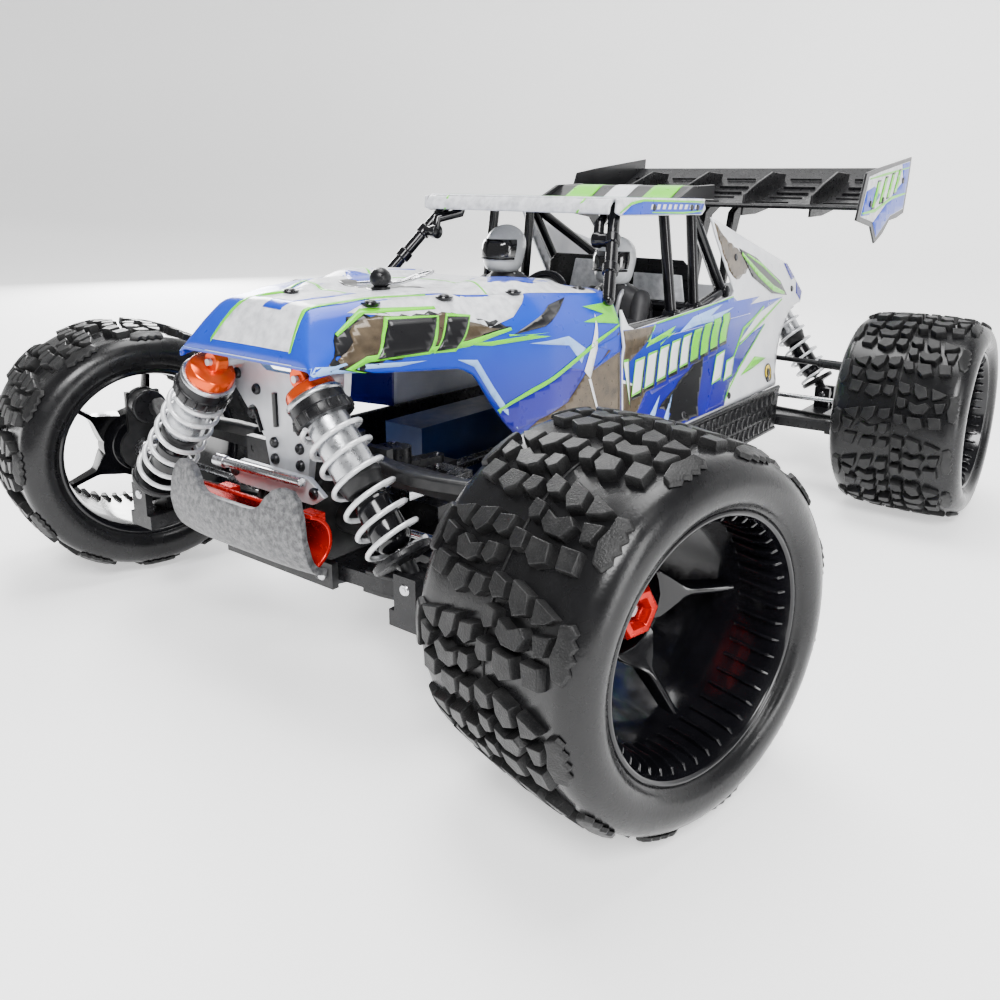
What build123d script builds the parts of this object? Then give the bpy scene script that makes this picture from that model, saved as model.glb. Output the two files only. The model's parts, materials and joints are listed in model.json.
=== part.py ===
"""1:8 scale four-wheel-drive RC buggy, built as the assembly it comes apart into.

Millimetres, +Z up, the nose points along -Y and the buggy's left side is +X. The origin is on the ground,
under the middle of the overall box. The front wheels are stored turned to the right by STEER_REST.
"""

from build123d import *
import math
import os

# ---------------------------------------------------------------- driving dimensions
TYRE_D, TYRE_W = 142.5, 86.5  # outside diameter over the lugs, widest section
RIM_R = 48.8  # bead seat
WHEELBASE = 386.0
FRONT_Y = -240.0  # front axle, before the origin is moved to the middle of the box
REAR_Y = FRONT_Y + WHEELBASE
AXLE_Z = TYRE_D / 2
WHEEL_X = {"f": 179.5, "r": 186.0}  # middle of each wheel when it points straight ahead
STEER_REST = -14.0  # degrees about the kingpin, both front wheels

ORIGIN_Y = -16.36  # middle of the overall box, from the steered left tyre to the wing
ARM_IN_X = 32.0  # inner hinge of every suspension arm
ARM_OUT_X = 146.0  # kingpin, and the rear outer hinge
ARM_RISE = 2.0  # outer end of an arm above its inner end
LOWER_Z, UPPER_Z = 52.0, 96.0  # inner hinge heights
ARM_HALF = {"f": 22.0, "r": 17.5}  # half the length of a lower arm's hinge
LINK_BACK = 20.0  # inner end of the rear camber link, behind the axle
LINK_Z = 84.0  # inner ball of a tie rod
STEER_ARM = 22.0  # kingpin to tie rod ball

CHASSIS_Z, CHASSIS_T = 36.0, 3.0
CHASSIS_TOP = CHASSIS_Z + CHASSIS_T
SKIN = 1.6  # body panel thickness

PIN_R, PIN_GAP = 1.6, 0.06  # hinge pins and their running clearance
LOOSE = 0.9  # radial clearance of the shock's lower screw, where the linkage is opened
BALL_R = 5.0
CUP_GAP = 0.1
DOG_BALL_R, DOG_PIN = 3.2, 3.7  # driveshaft ball, and half the length of its cross pin

# shock: inner (top) pivot, outer (bottom) pivot, and the plane they lie in, measured from the axle
FRONT_SHOCK = dict(top=(30.0, 142.0), foot=(94.0, 66.0), plane=-31.0)
REAR_SHOCK = dict(top=(44.0, 150.0), foot=(104.0, 66.0), plane=47.0)
SPRING_R, WIRE_R, SPRING_TURNS = 12.0, 1.0, 8
COLLAR_T, PERCH_T = 22.0, 14.0  # spring's upper end from the top pivot, lower end from the foot

AXLES = {"f": FRONT_Y, "r": REAR_Y}
SIDES = {"l": 1, "r": -1}


# ---------------------------------------------------------------- helpers
def rod(a, b, r):
    """Round bar from a to b."""
    a, b = Vector(a), Vector(b)
    bar = Cylinder(r, (b - a).length, align=(Align.CENTER, Align.CENTER, Align.MIN))
    return Plane(origin=a, z_dir=b - a) * bar


def hex_bar(a, b, across):
    """Hexagonal bar from a to b, by its size across flats."""
    a, b = Vector(a), Vector(b)
    face = Plane(origin=a, z_dir=b - a) * RegularPolygon(across / math.sqrt(3), 6)
    return extrude(face, (b - a).length)


def block(x, y, z):
    """Box between x[0]..x[1], y[0]..y[1], z[0]..z[1]."""
    size = (x[1] - x[0], y[1] - y[0], z[1] - z[0])
    middle = ((x[0] + x[1]) / 2, (y[0] + y[1]) / 2, (z[0] + z[1]) / 2)
    return Pos(*middle) * Box(*size)


def plate_xy(points, z0, z1):
    return extrude(Plane.XY.offset(z0) * make_face(Polyline(*points, close=True)), z1 - z0)


def plate_xz(points, y0, y1):
    return extrude(Plane.XZ.offset(-y1) * make_face(Polyline(*points, close=True)), y1 - y0)


def plate_yz(points, x0, x1):
    return extrude(Plane.YZ.offset(x0) * make_face(Polyline(*points, close=True)), x1 - x0)


def ball(x, y, z, r):
    return Pos(x, y, z) * Sphere(r)


def mirrored(points):
    """A left half outline, from bottom to top, closed by its mirror image."""
    return points + [(-x, z) for x, z in reversed(points)]


def group(*shapes):
    """Separate solids of one node."""
    return Compound(children=[solid for shape in shapes for solid in shape.solids()])


def placed(shape, axle, side, steered=False):
    """Moves a left-hand part, drawn about y = 0, to its axle and side, and turns it with the wheel."""
    sign, y = SIDES[side], AXLES[axle]
    shape = shape if sign > 0 else mirror(shape, Plane.YZ)
    shape = Pos(0, y, 0) * shape
    if steered:
        kingpin = Pos(sign * ARM_OUT_X, y, 0)
        shape = kingpin * Rot(0, 0, STEER_REST) * kingpin.inverse() * shape
    return shape


def along(a, b, t):
    """Point t millimetres from a towards b."""
    a, b = Vector(a), Vector(b)
    return a + (b - a).normalized() * t


# ---------------------------------------------------------------- wheels
def tyre(axle):
    """Rubber carcass, open to the rim, drawn as (across, radius) and turned about the axle."""
    half, crown = TYRE_W / 2, TYRE_D / 2
    outer = [(37.5, RIM_R + 0.2), (half, 55), (half, 60), (40.5, 65), (34, crown - 1.8), (18, crown)]
    inner = [(18, crown - 6), (33, crown - 7.5), (38, 61), (39, 57), (34, RIM_R + 0.2)]
    ring = outer + [(-x, r) for x, r in reversed(outer)]
    ring += [(-x, r) for x, r in reversed(inner)] + inner
    section = Plane.XZ * make_face(Polyline(*ring, close=True))
    return Pos(WHEEL_X[axle], 0, AXLE_Z) * revolve(section, Axis.X)


def wheel(axle):
    """Deep-dish five-spoke wheel with its stub axle, drive hex and nut. The hub sits against the upright,
    so it lies further in on the wider rear track."""
    hub = ARM_OUT_X + 11 - WHEEL_X[axle]
    barrel = [(-38, RIM_R), (-30, RIM_R), (-27, 46), (27, 46), (30, RIM_R), (38, RIM_R),
              (38, 47.2), (32, 44), (-32, 44), (-38, 47.2)]
    rim = revolve(Plane.XZ * make_face(Polyline(*barrel, close=True)), Axis.X)
    rim += rod((hub + 6, 0, 0), (hub + 18, 0, 0), 12.5)
    spoke = plate_xz([(hub + 7, 10), (hub + 17, 10), (8, 44.6), (-4, 44.6)], -4, 4)
    for turn in range(5):
        rim += Rot(turn * 72, 0, 0) * spoke
    rim -= rod((hub + 5, 0, 0), (hub + 19, 0, 0), 4.05)
    bell = rod((hub - 14, 0, 0), (hub - 5, 0, 0), 7.5) + rod((hub - 6, 0, 0), (hub + 25, 0, 0), 4)
    bell -= rod((hub - 17, 0, 0), (hub - 6.5, 0, 0), 5.8)
    drive_hex = hex_bar((hub, 0, 0), (hub + 6, 0, 0), 17) - rod((hub - 1, 0, 0), (hub + 7, 0, 0), 4.05)
    nut = rod((hub + 18, 0, 0), (hub + 19.5, 0, 0), 11)
    nut += hex_bar((hub + 19.5, 0, 0), (hub + 24.5, 0, 0), 16)
    nut -= rod((hub + 17, 0, 0), (hub + 26, 0, 0), 4.05)
    return Pos(WHEEL_X[axle], 0, AXLE_Z) * group(rim, bell, drive_hex, nut)


# ---------------------------------------------------------------- suspension
STEER_SHIFT = Vector(-STEER_ARM * math.sin(math.radians(STEER_REST)),
                     STEER_ARM * math.cos(math.radians(STEER_REST)), 0)  # of the whole steering linkage
BEARING_X = (ARM_OUT_X + 6.5, ARM_OUT_X + 10.5)  # thickness of an upright, between the bell and the hex
LOWER_OUT = (ARM_OUT_X, 0, LOWER_Z + ARM_RISE)
UPPER_OUT = (ARM_OUT_X, 0, UPPER_Z + ARM_RISE)


def knuckle():
    """Front upright: bearing housing, two cups for the pivot balls, steering arm with its ball stud."""
    x0, x1 = BEARING_X
    body = block((x0, x1), (-9, 9), (47, 105)) + rod((x0, 0, AXLE_Z), (x1, 0, AXLE_Z), 14)
    for x, y, z in (LOWER_OUT, UPPER_OUT):
        body += rod((x - 3, y, z), (x1 - 1, y, z), 9) - ball(x, y, z, BALL_R + 1.8 + CUP_GAP)
        body -= ball(x, y, z, BALL_R + 1.8 + CUP_GAP)
    arm_z = LINK_Z + ARM_RISE - 8
    body += plate_xy([(x0, 6), (x1, 6), (ARM_OUT_X + 4, 25), (ARM_OUT_X - 3, 25), (ARM_OUT_X - 3, 19)],
                     arm_z, arm_z + 4)
    body += rod((ARM_OUT_X, STEER_ARM, arm_z + 3), (ARM_OUT_X, STEER_ARM, arm_z + 8), 1.4)
    body += ball(ARM_OUT_X, STEER_ARM, arm_z + 8, 2.8)
    return body - rod((x0 - 1, 0, AXLE_Z), (x1 + 1, 0, AXLE_Z), 4 + PIN_GAP)


def ball_races():
    """Plastic races between the pivot balls and the knuckle's cups."""
    races = []
    for x, y, z in (LOWER_OUT, UPPER_OUT):
        shell = ball(x, y, z, BALL_R + 1.8) - ball(x, y, z, BALL_R + CUP_GAP)
        races.append(shell - block((x - 9, x - 3.2), (y - 9, y + 9), (z - 9, z + 9)))
    return group(*races)


def pivot_ball(x, y, z):
    return ball(x, y, z, BALL_R) + rod((x - 16, y, z), (x, y, z), 2.2)


def shock_ears(shock, top):
    """Pad and two ears that hold the shock's lower screw."""
    (x, z), plane = shock["foot"], shock["plane"]
    near, far = (plane + 4, plane + 7.5), (plane - 7.5, plane - 4)
    inward = 1 if plane < 0 else -1
    reach = sorted((plane - inward * 7.5, inward * -9.0))
    pad = block((x - 9, x + 9), reach, (top - 7, top))
    ears = block((x - 6, x + 6), near, (top - 7, z + 5.5)) + block((x - 6, x + 6), far, (top - 7, z + 5.5))
    return pad + ears


def lower_arm(axle):
    """Lower wishbone with its inner hinge pin and the shock's ears. The front one ends in a ball, the
    rear one in a fork with its own pin."""
    shock = FRONT_SHOCK if axle == "f" else REAR_SHOCK
    half = ARM_HALF[axle]
    z0, z1 = LOWER_Z - 3.5, LOWER_Z + 3.5
    reach = ARM_OUT_X - 14 if axle == "f" else ARM_OUT_X - 8
    waist = ARM_IN_X + 30
    outline = [(ARM_IN_X, -half), (waist, 2 - half), (reach, -8), (reach, 8), (waist, half - 2),
               (ARM_IN_X, half)]
    window = [(ARM_IN_X + 12, 11 - half), (waist + 4, 13 - half), (waist + 4, half - 13),
              (ARM_IN_X + 12, half - 11)]
    arm = plate_xy(outline, z0, z1) - plate_xy(window, z0, z1)
    arm += rod((ARM_IN_X, -half, LOWER_Z), (ARM_IN_X, half, LOWER_Z), 4.5) + shock_ears(shock, z1)
    x, z = shock["foot"]
    arm -= rod((x, shock["plane"] - 9, z), (x, shock["plane"] + 9, z), PIN_R + LOOSE)
    pin = rod((ARM_IN_X, -half - 5.4, LOWER_Z), (ARM_IN_X, half + 5.4, LOWER_Z), PIN_R)
    arm -= pin
    out_z = LOWER_OUT[2]
    if axle == "f":
        arm += rod((reach - 8, 0, out_z), (reach + 4, 0, out_z), 5)
        joint = pivot_ball(*LOWER_OUT)
        return group(arm - joint, joint, pin)
    for y in (-16, 12):
        arm += block((reach - 12, ARM_OUT_X), (y, y + 4), (out_z - 4.5, out_z + 4.5))
        arm += rod((ARM_OUT_X, y, out_z), (ARM_OUT_X, y + 4, out_z), 4.5)
    arm += block((reach - 12, reach - 4), (-16, 16), (z0, z1))
    outer_pin = rod((ARM_OUT_X, -16, out_z), (ARM_OUT_X, 16, out_z), PIN_R)
    return group(arm - outer_pin, outer_pin, pin)


def upper_arm():
    """Front upper arm: hinge tube, curved blade and pivot ball."""
    reach = ARM_OUT_X - 14
    blade = plate_xy([(ARM_IN_X, -8), (ARM_IN_X + 40, -7), (reach, -5), (reach, 5), (ARM_IN_X + 40, 7),
                      (ARM_IN_X, 8)], UPPER_Z - 3, UPPER_Z + 3)
    blade += rod((ARM_IN_X, -9, UPPER_Z), (ARM_IN_X, 9, UPPER_Z), 4)
    blade += rod((reach - 8, 0, UPPER_OUT[2]), (reach + 4, 0, UPPER_OUT[2]), 4.6)
    pin = rod((ARM_IN_X, -13, UPPER_Z), (ARM_IN_X, 13, UPPER_Z), PIN_R)
    joint = pivot_ball(*UPPER_OUT)
    return group(blade - pin - joint, joint, pin)


def upper_link():
    """Rear camber link: two plastic rod ends on a threaded bar, with its two pins, set back at the tower."""
    inner = (ARM_IN_X, LINK_BACK, UPPER_Z)
    bar = rod(along(inner, UPPER_OUT, 6), along(UPPER_OUT, inner, 6), 2)
    pins = []
    ends = []
    for a, b in ((inner, UPPER_OUT), (UPPER_OUT, inner)):
        pins.append(rod((a[0], a[1] - 8.4, a[2]), (a[0], a[1] + 8.4, a[2]), PIN_R))
        eye = rod((a[0], a[1] - 4, a[2]), (a[0], a[1] + 4, a[2]), 5)
        ends.append(eye + rod(along(a, b, 3.4), along(a, b, 36), 3.5) - bar)
    return group(bar, *[end - pin for end, pin in zip(ends, pins)], *pins)


def rear_upright():
    """Rear hub carrier: bearing housing, lower hinge boss, upper fork for the camber link."""
    x0, x1 = BEARING_X
    body = block((x0, x1), (-9, 9), (50, 105)) + rod((x0, 0, AXLE_Z), (x1, 0, AXLE_Z), 14)
    body += rod((ARM_OUT_X, -11.5, LOWER_OUT[2]), (ARM_OUT_X, 11.5, LOWER_OUT[2]), 4.5)
    body += block((ARM_OUT_X, x1), (-11.5, 11.5), (LOWER_OUT[2] - 4, LOWER_OUT[2] + 4))
    for y in (-8.5, 4.5):
        body += block((ARM_OUT_X, x1), (y, y + 4), (UPPER_OUT[2] - 5, UPPER_OUT[2] + 5))
        body += rod((ARM_OUT_X, y, UPPER_OUT[2]), (ARM_OUT_X, y + 4, UPPER_OUT[2]), 5)
    for out in (LOWER_OUT, UPPER_OUT):
        body -= rod((out[0], -20, out[2]), (out[0], 20, out[2]), PIN_R + PIN_GAP)
    return body - rod((x0 - 1, 0, AXLE_Z), (x1 + 1, 0, AXLE_Z), 4 + PIN_GAP)


def tie_rod():
    """Turnbuckle from the drag link to the knuckle, parallel to the arms, with a socket at each end."""
    inner = Vector(ARM_IN_X, 0, LINK_Z)
    outer = inner + Vector(ARM_OUT_X - ARM_IN_X, 0, ARM_RISE)
    rod_body = rod(along(inner, outer, 3), along(outer, inner, 3), 1.8)
    for end in (inner, outer):
        rod_body += ball(*end, 4.4)
        rod_body -= ball(*end, 2.8 + CUP_GAP)
        rod_body -= rod(end - Vector(0, 0, 6), end, 2.8)
    return rod_body


def driveshaft():
    """Dogbone between the gearbox cup and the bell on the stub axle, with its cross pins."""
    inner = Vector(ARM_IN_X, 0, AXLE_Z - ARM_RISE)
    outer = Vector(ARM_OUT_X, 0, AXLE_Z)
    shaft = rod(inner, outer, 1.8)
    for end in (inner, outer):
        shaft += ball(*end, DOG_BALL_R)
        shaft += rod(end - Vector(0, DOG_PIN, 0), end + Vector(0, DOG_PIN, 0), 1)
    return shaft


# ---------------------------------------------------------------- shocks
def shock_points(shock):
    (x0, z0), (x1, z1), y = shock["top"], shock["foot"], shock["plane"]
    return Vector(x0, y, z0), Vector(x1, y, z1)


def shock_body(shock):
    """Upper eye and cap, oil cylinder, threaded collar and lower cap."""
    top, foot = shock_points(shock)

    def length(a, b, r):
        return rod(along(top, foot, a), along(top, foot, b), r)

    eye = rod(top - Vector(0, 3, 0), top + Vector(0, 3, 0), 5)
    cap = eye + length(4, 15, 10.5) - rod(top - Vector(0, 12, 0), top + Vector(0, 12, 0), PIN_R + PIN_GAP)
    cylinder = length(15, 60, 9.5) - length(18, 57, 8) - length(56, 61, 1.9)
    lower_cap = length(60, 64, 8.2) - length(59, 65, 1.9)
    collar = length(16.5, COLLAR_T, 13) - length(16, COLLAR_T + 1, 9.5)
    return group(cap, cylinder, lower_cap, collar)


def shock_shaft(shock):
    """Piston, shaft, spring perch, rod end and lower screw."""
    top, foot = shock_points(shock)

    def length(a, b, r):
        return rod(along(foot, top, a), along(foot, top, b), r)

    reach = (foot - top).length
    shaft = length(8, reach - 50, 1.75) + length(reach - 54, reach - 50, 7.8)
    end = length(0, PERCH_T, 3.6) + rod(foot - Vector(0, 3, 0), foot + Vector(0, 3, 0), 5)
    end += length(PERCH_T - 3, PERCH_T, 13)
    screw = rod(foot - Vector(0, 8.4, 0), foot + Vector(0, 8.4, 0), PIN_R)
    return group(shaft, end - shaft - screw, screw)


def spring(shock):
    top, foot = shock_points(shock)
    start, stop = along(top, foot, COLLAR_T + WIRE_R), along(foot, top, PERCH_T + WIRE_R)
    height = (stop - start).length
    coil = Helix(pitch=height / SPRING_TURNS, height=height, radius=SPRING_R)
    section = Plane(origin=coil @ 0, z_dir=coil % 0) * Circle(WIRE_R)
    return Plane(origin=start, z_dir=stop - start) * sweep(section, path=coil, is_frenet=True)


# ---------------------------------------------------------------- steering
BELLCRANK = (16.0, 38.0)  # pivot, measured from the front axle
POST_R = 3.0
SERVO_TOP = 72.0


def bellcrank(sign):
    """Left: crank on the servo's output shaft. Right: idler crank on its post."""
    x, y = sign * BELLCRANK[0], BELLCRANK[1]
    crank = rod((x, y, LINK_Z - 2), (x, y, LINK_Z + 10), 6)
    crank += block((x - 4, x + 4), (y, y + STEER_ARM), (LINK_Z - 2, LINK_Z + 2))
    crank += rod((x, y + STEER_ARM, LINK_Z - 2), (x, y + STEER_ARM, LINK_Z + 2), 4)
    crank -= rod((x, y + STEER_ARM, LINK_Z - 3), (x, y + STEER_ARM, LINK_Z + 3), 1.5 + PIN_GAP)
    if sign > 0:
        crank += rod((x, y, SERVO_TOP - 7), (x, y, LINK_Z), POST_R)
    else:
        crank -= rod((x, y, LINK_Z - 3), (x, y, LINK_Z + 11), POST_R + PIN_GAP)
    pivot = Pos(x, y, 0)
    return Pos(0, FRONT_Y, 0) * pivot * Rot(0, 0, STEER_REST) * pivot.inverse() * crank


def drag_link():
    """U-shaped plate that carries the inner tie rod balls and hangs on the two bellcrank pins. Its legs
    pass outside the crank pivots at full lock."""
    z0, z1 = LINK_Z - 8, LINK_Z - 4
    x, y = BELLCRANK
    leg_in, leg_out = ARM_IN_X - 2.8, ARM_IN_X + 4.5
    plate = plate_xy([(leg_out, -3), (leg_out, y + 5), (-leg_out, y + 5), (-leg_out, -3), (-leg_in, -3),
                      (-leg_in, y - 5), (leg_in, y - 5), (leg_in, -3)], z0, z1)
    for sign in (1, -1):
        plate += rod((sign * ARM_IN_X, 0, z1 - 1), (sign * ARM_IN_X, 0, LINK_Z), 1.4)
        plate += ball(sign * ARM_IN_X, 0, LINK_Z, 2.8)
        plate += rod((sign * x, y, z1 - 1), (sign * x, y, LINK_Z + 3), 1.5)
    return Pos(STEER_SHIFT) * Pos(0, FRONT_Y, 0) * plate


def steering_servo():
    """Servo under the left bellcrank, which it turns directly."""
    x, y = BELLCRANK[0], FRONT_Y + BELLCRANK[1]
    case = block((x - 5.5, x + 35), (y - 10, y + 10), (CHASSIS_TOP, SERVO_TOP))
    case += block((x + 35, x + 41), (y - 10, y + 10), (SERVO_TOP - 12, SERVO_TOP - 9))
    case += rod((x, y, SERVO_TOP - 1), (x, y, SERVO_TOP + 2), 5.4)
    return case - rod((x, y, SERVO_TOP - 8), (x, y, SERVO_TOP + 3), POST_R + PIN_GAP)


# ---------------------------------------------------------------- chassis and driveline
def chassis_plate():
    """Flat plate with kicked-in ends, the idler's post and the two bearing blocks of the centre shafts."""
    front, rear = FRONT_Y - 8, REAR_Y + 40
    half = [(18, front), (34, FRONT_Y + 34), (62, FRONT_Y + 78), (62, REAR_Y - 60), (34, REAR_Y - 26),
            (28, rear)]
    plate = plate_xy(mirrored(half), CHASSIS_Z, CHASSIS_TOP)
    x, y = -BELLCRANK[0], FRONT_Y + BELLCRANK[1]
    plate += rod((x, y, CHASSIS_Z + 1), (x, y, LINK_Z + 13), POST_R)
    plate += rod((x, y, LINK_Z + 10.5), (x, y, LINK_Z + 13), 5)
    z = SPUR["z"]
    for y in (FRONT_Y + 84, REAR_Y - 70):
        plate += block((-10, 10), (y - 4, y + 4), (CHASSIS_TOP - 1, z + 8))
        plate -= rod((0, y - 5, z), (0, y + 5, z), SHAFT_R + PIN_GAP)
    return plate


GUARD_TOP, GUARD_X = 80.0, 90.0
GUARD_Y = (-150.0, 127.0)


def side_guards():
    """Flared plastic guards along both edges of the chassis, hooked over the plate."""
    section = [(60, CHASSIS_TOP), (66, CHASSIS_TOP + 2.5), (GUARD_X - 4.5, 51), (GUARD_X - 2.5, GUARD_TOP),
               (GUARD_X, GUARD_TOP), (GUARD_X - 2, 48), (67, CHASSIS_TOP - 1), (62.2, CHASSIS_TOP - 2),
               (62.2, CHASSIS_TOP)]
    guard = plate_xz(section, *GUARD_Y)
    return group(guard, mirror(guard, Plane.YZ))


EAR_Z = 46.0  # underside of the lower hinge ears


def gearbox(axle):
    """Differential case with drive cups, the nose for the centre shaft and the ears of the hinge pins."""
    half = ARM_HALF[axle]
    cup_z = AXLE_Z - ARM_RISE
    foot = (-8, 18) if axle == "f" else (-18, 18)
    case = rod((-18, 0, cup_z), (18, 0, cup_z), 23) + block((-18, 18), foot, (CHASSIS_TOP, AXLE_Z))
    case += block((-18, 18), (-half - 5, half + 5), (EAR_Z, LOWER_Z + 6))
    nose = (0, 30) if axle == "f" else (-30, 0)
    case += block((-9, 9), nose, (AXLE_Z - 14, AXLE_Z + 4))
    for y in (-half - 5, half + 1.5):
        case += block((-ARM_IN_X - 6, ARM_IN_X + 6), (y, y + 3.5), (EAR_Z, LOWER_Z + 6))
    ears = (-13.4, 9.4) if axle == "f" else (LINK_BACK - 8.4, LINK_BACK + 4.4)
    for y in ears:
        case += block((-ARM_IN_X - 4.5, ARM_IN_X + 4.5), (y, y + 4), (AXLE_Z + 14, UPPER_Z + 6))
    case += block((-12, 12), (ears[0], ears[1] + 4), (AXLE_Z, AXLE_Z + 16))
    for sign in (1, -1):
        case += rod((sign * 17, 0, cup_z), (sign * 38, 0, cup_z), 8)
        case -= rod((sign * 23, 0, cup_z), (sign * 39, 0, cup_z), 5.8)
        for z in (LOWER_Z, UPPER_Z):
            case -= rod((sign * ARM_IN_X, -33, z), (sign * ARM_IN_X, 33, z), PIN_R + PIN_GAP)
    return case


def gearbox_cases():
    return group(Pos(0, FRONT_Y, 0) * gearbox("f"), Pos(0, REAR_Y, 0) * gearbox("r"))


def shock_tower(shock, facing, face, top_z):
    """Aluminium plate with two shock standoffs, bolted to the ears above a gearbox."""
    x, z = shock["top"]
    y0, y1 = sorted((face, face - facing * 4))
    half = [(13, AXLE_Z + 18), (16, AXLE_Z + 34), (x + 9, z - 12), (x + 11, z + 4), (x + 2, top_z),
            (12, top_z - 12)]
    plate = plate_xz(mirrored(half), y0, y1)
    for sign in (1, -1):
        plate -= rod((sign * (x - 6), y0 - 1, z - 26), (sign * (x - 6), y1 + 1, z - 26), 4)
        plate += rod((sign * x, face, z), (sign * x, shock["plane"] - facing * 3.2, z), 3.2)
        plate += rod((sign * x, face, z), (sign * x, shock["plane"] + facing * 5, z), PIN_R)
    return plate


def shock_towers():
    front = Pos(0, FRONT_Y, 0) * shock_tower(FRONT_SHOCK, -1, -17.6, 150)
    rear = Pos(0, REAR_Y, 0) * shock_tower(REAR_SHOCK, 1, LINK_BACK + 12.6, 160)
    return group(front, rear)


SPUR = dict(y=-52.0, z=66.0, teeth=46, module=1.0)
PINION_TEETH = 14
SHAFT_R = 3.2


def gear(teeth, module, width):
    """Spur gear about Y with trapezoid teeth, a little thin so that a pair runs free."""
    pitch = teeth * module / 2
    root, tip = pitch - 1.15 * module, pitch + 0.85 * module
    disc = Cylinder(root, width)
    root_half, tip_half = 0.72 * module, 0.3 * module
    tooth = [(root - 0.5, -root_half), (tip, -tip_half), (tip, tip_half), (root - 0.5, root_half)]
    form = extrude(Plane.XY.offset(-width / 2) * make_face(Polyline(*tooth, close=True)), width)
    for n in range(teeth):
        disc += Rot(0, 0, n * 360 / teeth) * form
    return Rot(90, 0, 0) * disc


def spur_gear():
    """Spur gear on the centre differential, with the shafts to both gearboxes."""
    y, z = SPUR["y"], SPUR["z"]
    wheel_gear = Pos(0, y, z) * gear(SPUR["teeth"], SPUR["module"], 6)
    cup = rod((0, y - 20, z), (0, y + 20, z), 9)
    shaft = rod((0, FRONT_Y + 30.5, z), (0, REAR_Y - 30.5, z), SHAFT_R)
    return wheel_gear + cup + shaft


MOTOR_X = (SPUR["teeth"] + PINION_TEETH) * SPUR["module"] / 2
MOTOR_Y = SPUR["y"] + 6.0


def motor_pinion():
    half_tooth = 180 / PINION_TEETH
    turned = Rot(0, half_tooth, 0) * gear(PINION_TEETH, SPUR["module"], 8)
    pinion = Pos(MOTOR_X, SPUR["y"], SPUR["z"]) * turned
    shaft = rod((MOTOR_X, SPUR["y"] - 4, SPUR["z"]), (MOTOR_X, MOTOR_Y + 14, SPUR["z"]), 2.5)
    return pinion + shaft


def drive_motor():
    """Brushless can with end bells, on its mount."""
    z, y = SPUR["z"], MOTOR_Y + 4
    can = rod((MOTOR_X + 2, y + 4, z), (MOTOR_X + 2, y + 62, z), 18)
    mount = block((MOTOR_X - 9, MOTOR_X + 21), (y, y + 4), (CHASSIS_TOP, z + 18))
    bore = rod((MOTOR_X, y - 1, z), (MOTOR_X, y + 12, z), 2.5 + PIN_GAP)
    return group(can - bore, mount - bore)


def battery_and_esc():
    battery = block((-58, -28), (-140, -6), (CHASSIS_TOP, CHASSIS_TOP + 44))
    esc = block((-56, -14), (8, 56), (CHASSIS_TOP, CHASSIS_TOP + 28))
    return group(battery, esc)


# ---------------------------------------------------------------- bumper
BUMPER_HALF = 46.0


def front_bumper():
    """Curved bumper shell with a dip between two raised ends."""
    path = [(-274, 60), (-281, 62), (-286, 68), (-288.5, 78), (-286, 97)]
    inner = [(y + 3, z + 0.8) for y, z in path]
    shell = plate_yz(path + inner[::-1], -BUMPER_HALF, BUMPER_HALF)
    dip = [(-23, 100), (-20, 91), (-12, 86), (12, 86), (20, 91), (23, 100)]
    return shell - plate_xz(dip, -300, -270)


def bumper_braces():
    """Two red brace plates from the front hinge ears to the back of the bumper."""
    brace = [(-267.2, 46), (-267.2, 57.5), (-277, 82), (-284.6, 80), (-282.6, 69), (-279, 65.5), (-273, 63.4),
             (-268.6, 58)]
    return group(*[plate_yz(brace, x - 5, x + 5) for x in (-22, 22)])


# ---------------------------------------------------------------- body
ROOF_Z = 217.0
SILL_Z = GUARD_TOP + 1.0
DASH_Y = -104.0


def body_section(y, foot, shoulder, crown):
    """One cross-section: foot, shoulder and crown half-widths with their heights."""
    return Plane.XZ.offset(-y) * make_face(Polyline(*mirrored([foot, shoulder, crown]), close=True))


HOOD = [  # y, foot, shoulder, crown
    (-279, (45, 144), (45, 147), (44, 148)),
    (-267, (47, 143), (46, 150), (28, 171)),
    (-215, (66, 134), (64, 156), (46, 173)),
    (-165, (84, 100), (82, 158), (66, 174)),
    (DASH_Y, (88.6, SILL_Z), (85.6, 152), (76, 170)),
]


def hood_outside():
    return loft([body_section(*section) for section in HOOD], ruled=True)


def hood_panel():
    """Moulded nose and front wings, open below, with the wheel arches cut out."""
    inset = []
    for y, foot, shoulder, crown in HOOD:
        narrow = [(p[0] - SKIN, p[1] - drop) for p, drop in ((foot, 3), (shoulder, 0.8), (crown, SKIN))]
        inset.append((y, *narrow))
    inset[0] = (HOOD[0][0] + 1.5, *inset[0][1:])
    inset[-1] = (DASH_Y + 1, *inset[-1][1:])
    inside = loft([body_section(*section) for section in inset], ruled=True)
    arch = [(-290, 30), (-290, 145.5), (-250, 145.5), (-225, 139), (-206, 130), (-186, 84), (-186, 30)]
    return hood_outside() - inside - plate_yz(arch, -100, 100)


def side_panels():
    """Doors and tail fins: one skin a side, leaning in more towards the tail."""
    tail_y = 210.0
    slab = []
    for y, x, lean in ((DASH_Y + 0.5, 89.0, 0.045), (tail_y, 84.0, 0.146)):
        low, high = x + lean * 21, x - lean * 134
        quad = [(low, 60), (high, 215), (high - SKIN, 215), (low - SKIN, 60)]
        slab.append(Plane.XZ.offset(-y) * make_face(Polyline(*quad, close=True)))
    outline = [(DASH_Y + 0.5, SILL_Z), (GUARD_Y[1], SILL_Z), (142, 116), (168, 136), (196, 138), (202, 146),
               (170, 170), (20, 207), (60, 154), (-92, 148), (DASH_Y + 0.5, 160)]
    panel = loft(slab, ruled=True) & plate_yz(outline, 40, 120)
    return group(panel, mirror(panel, Plane.YZ))


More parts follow.
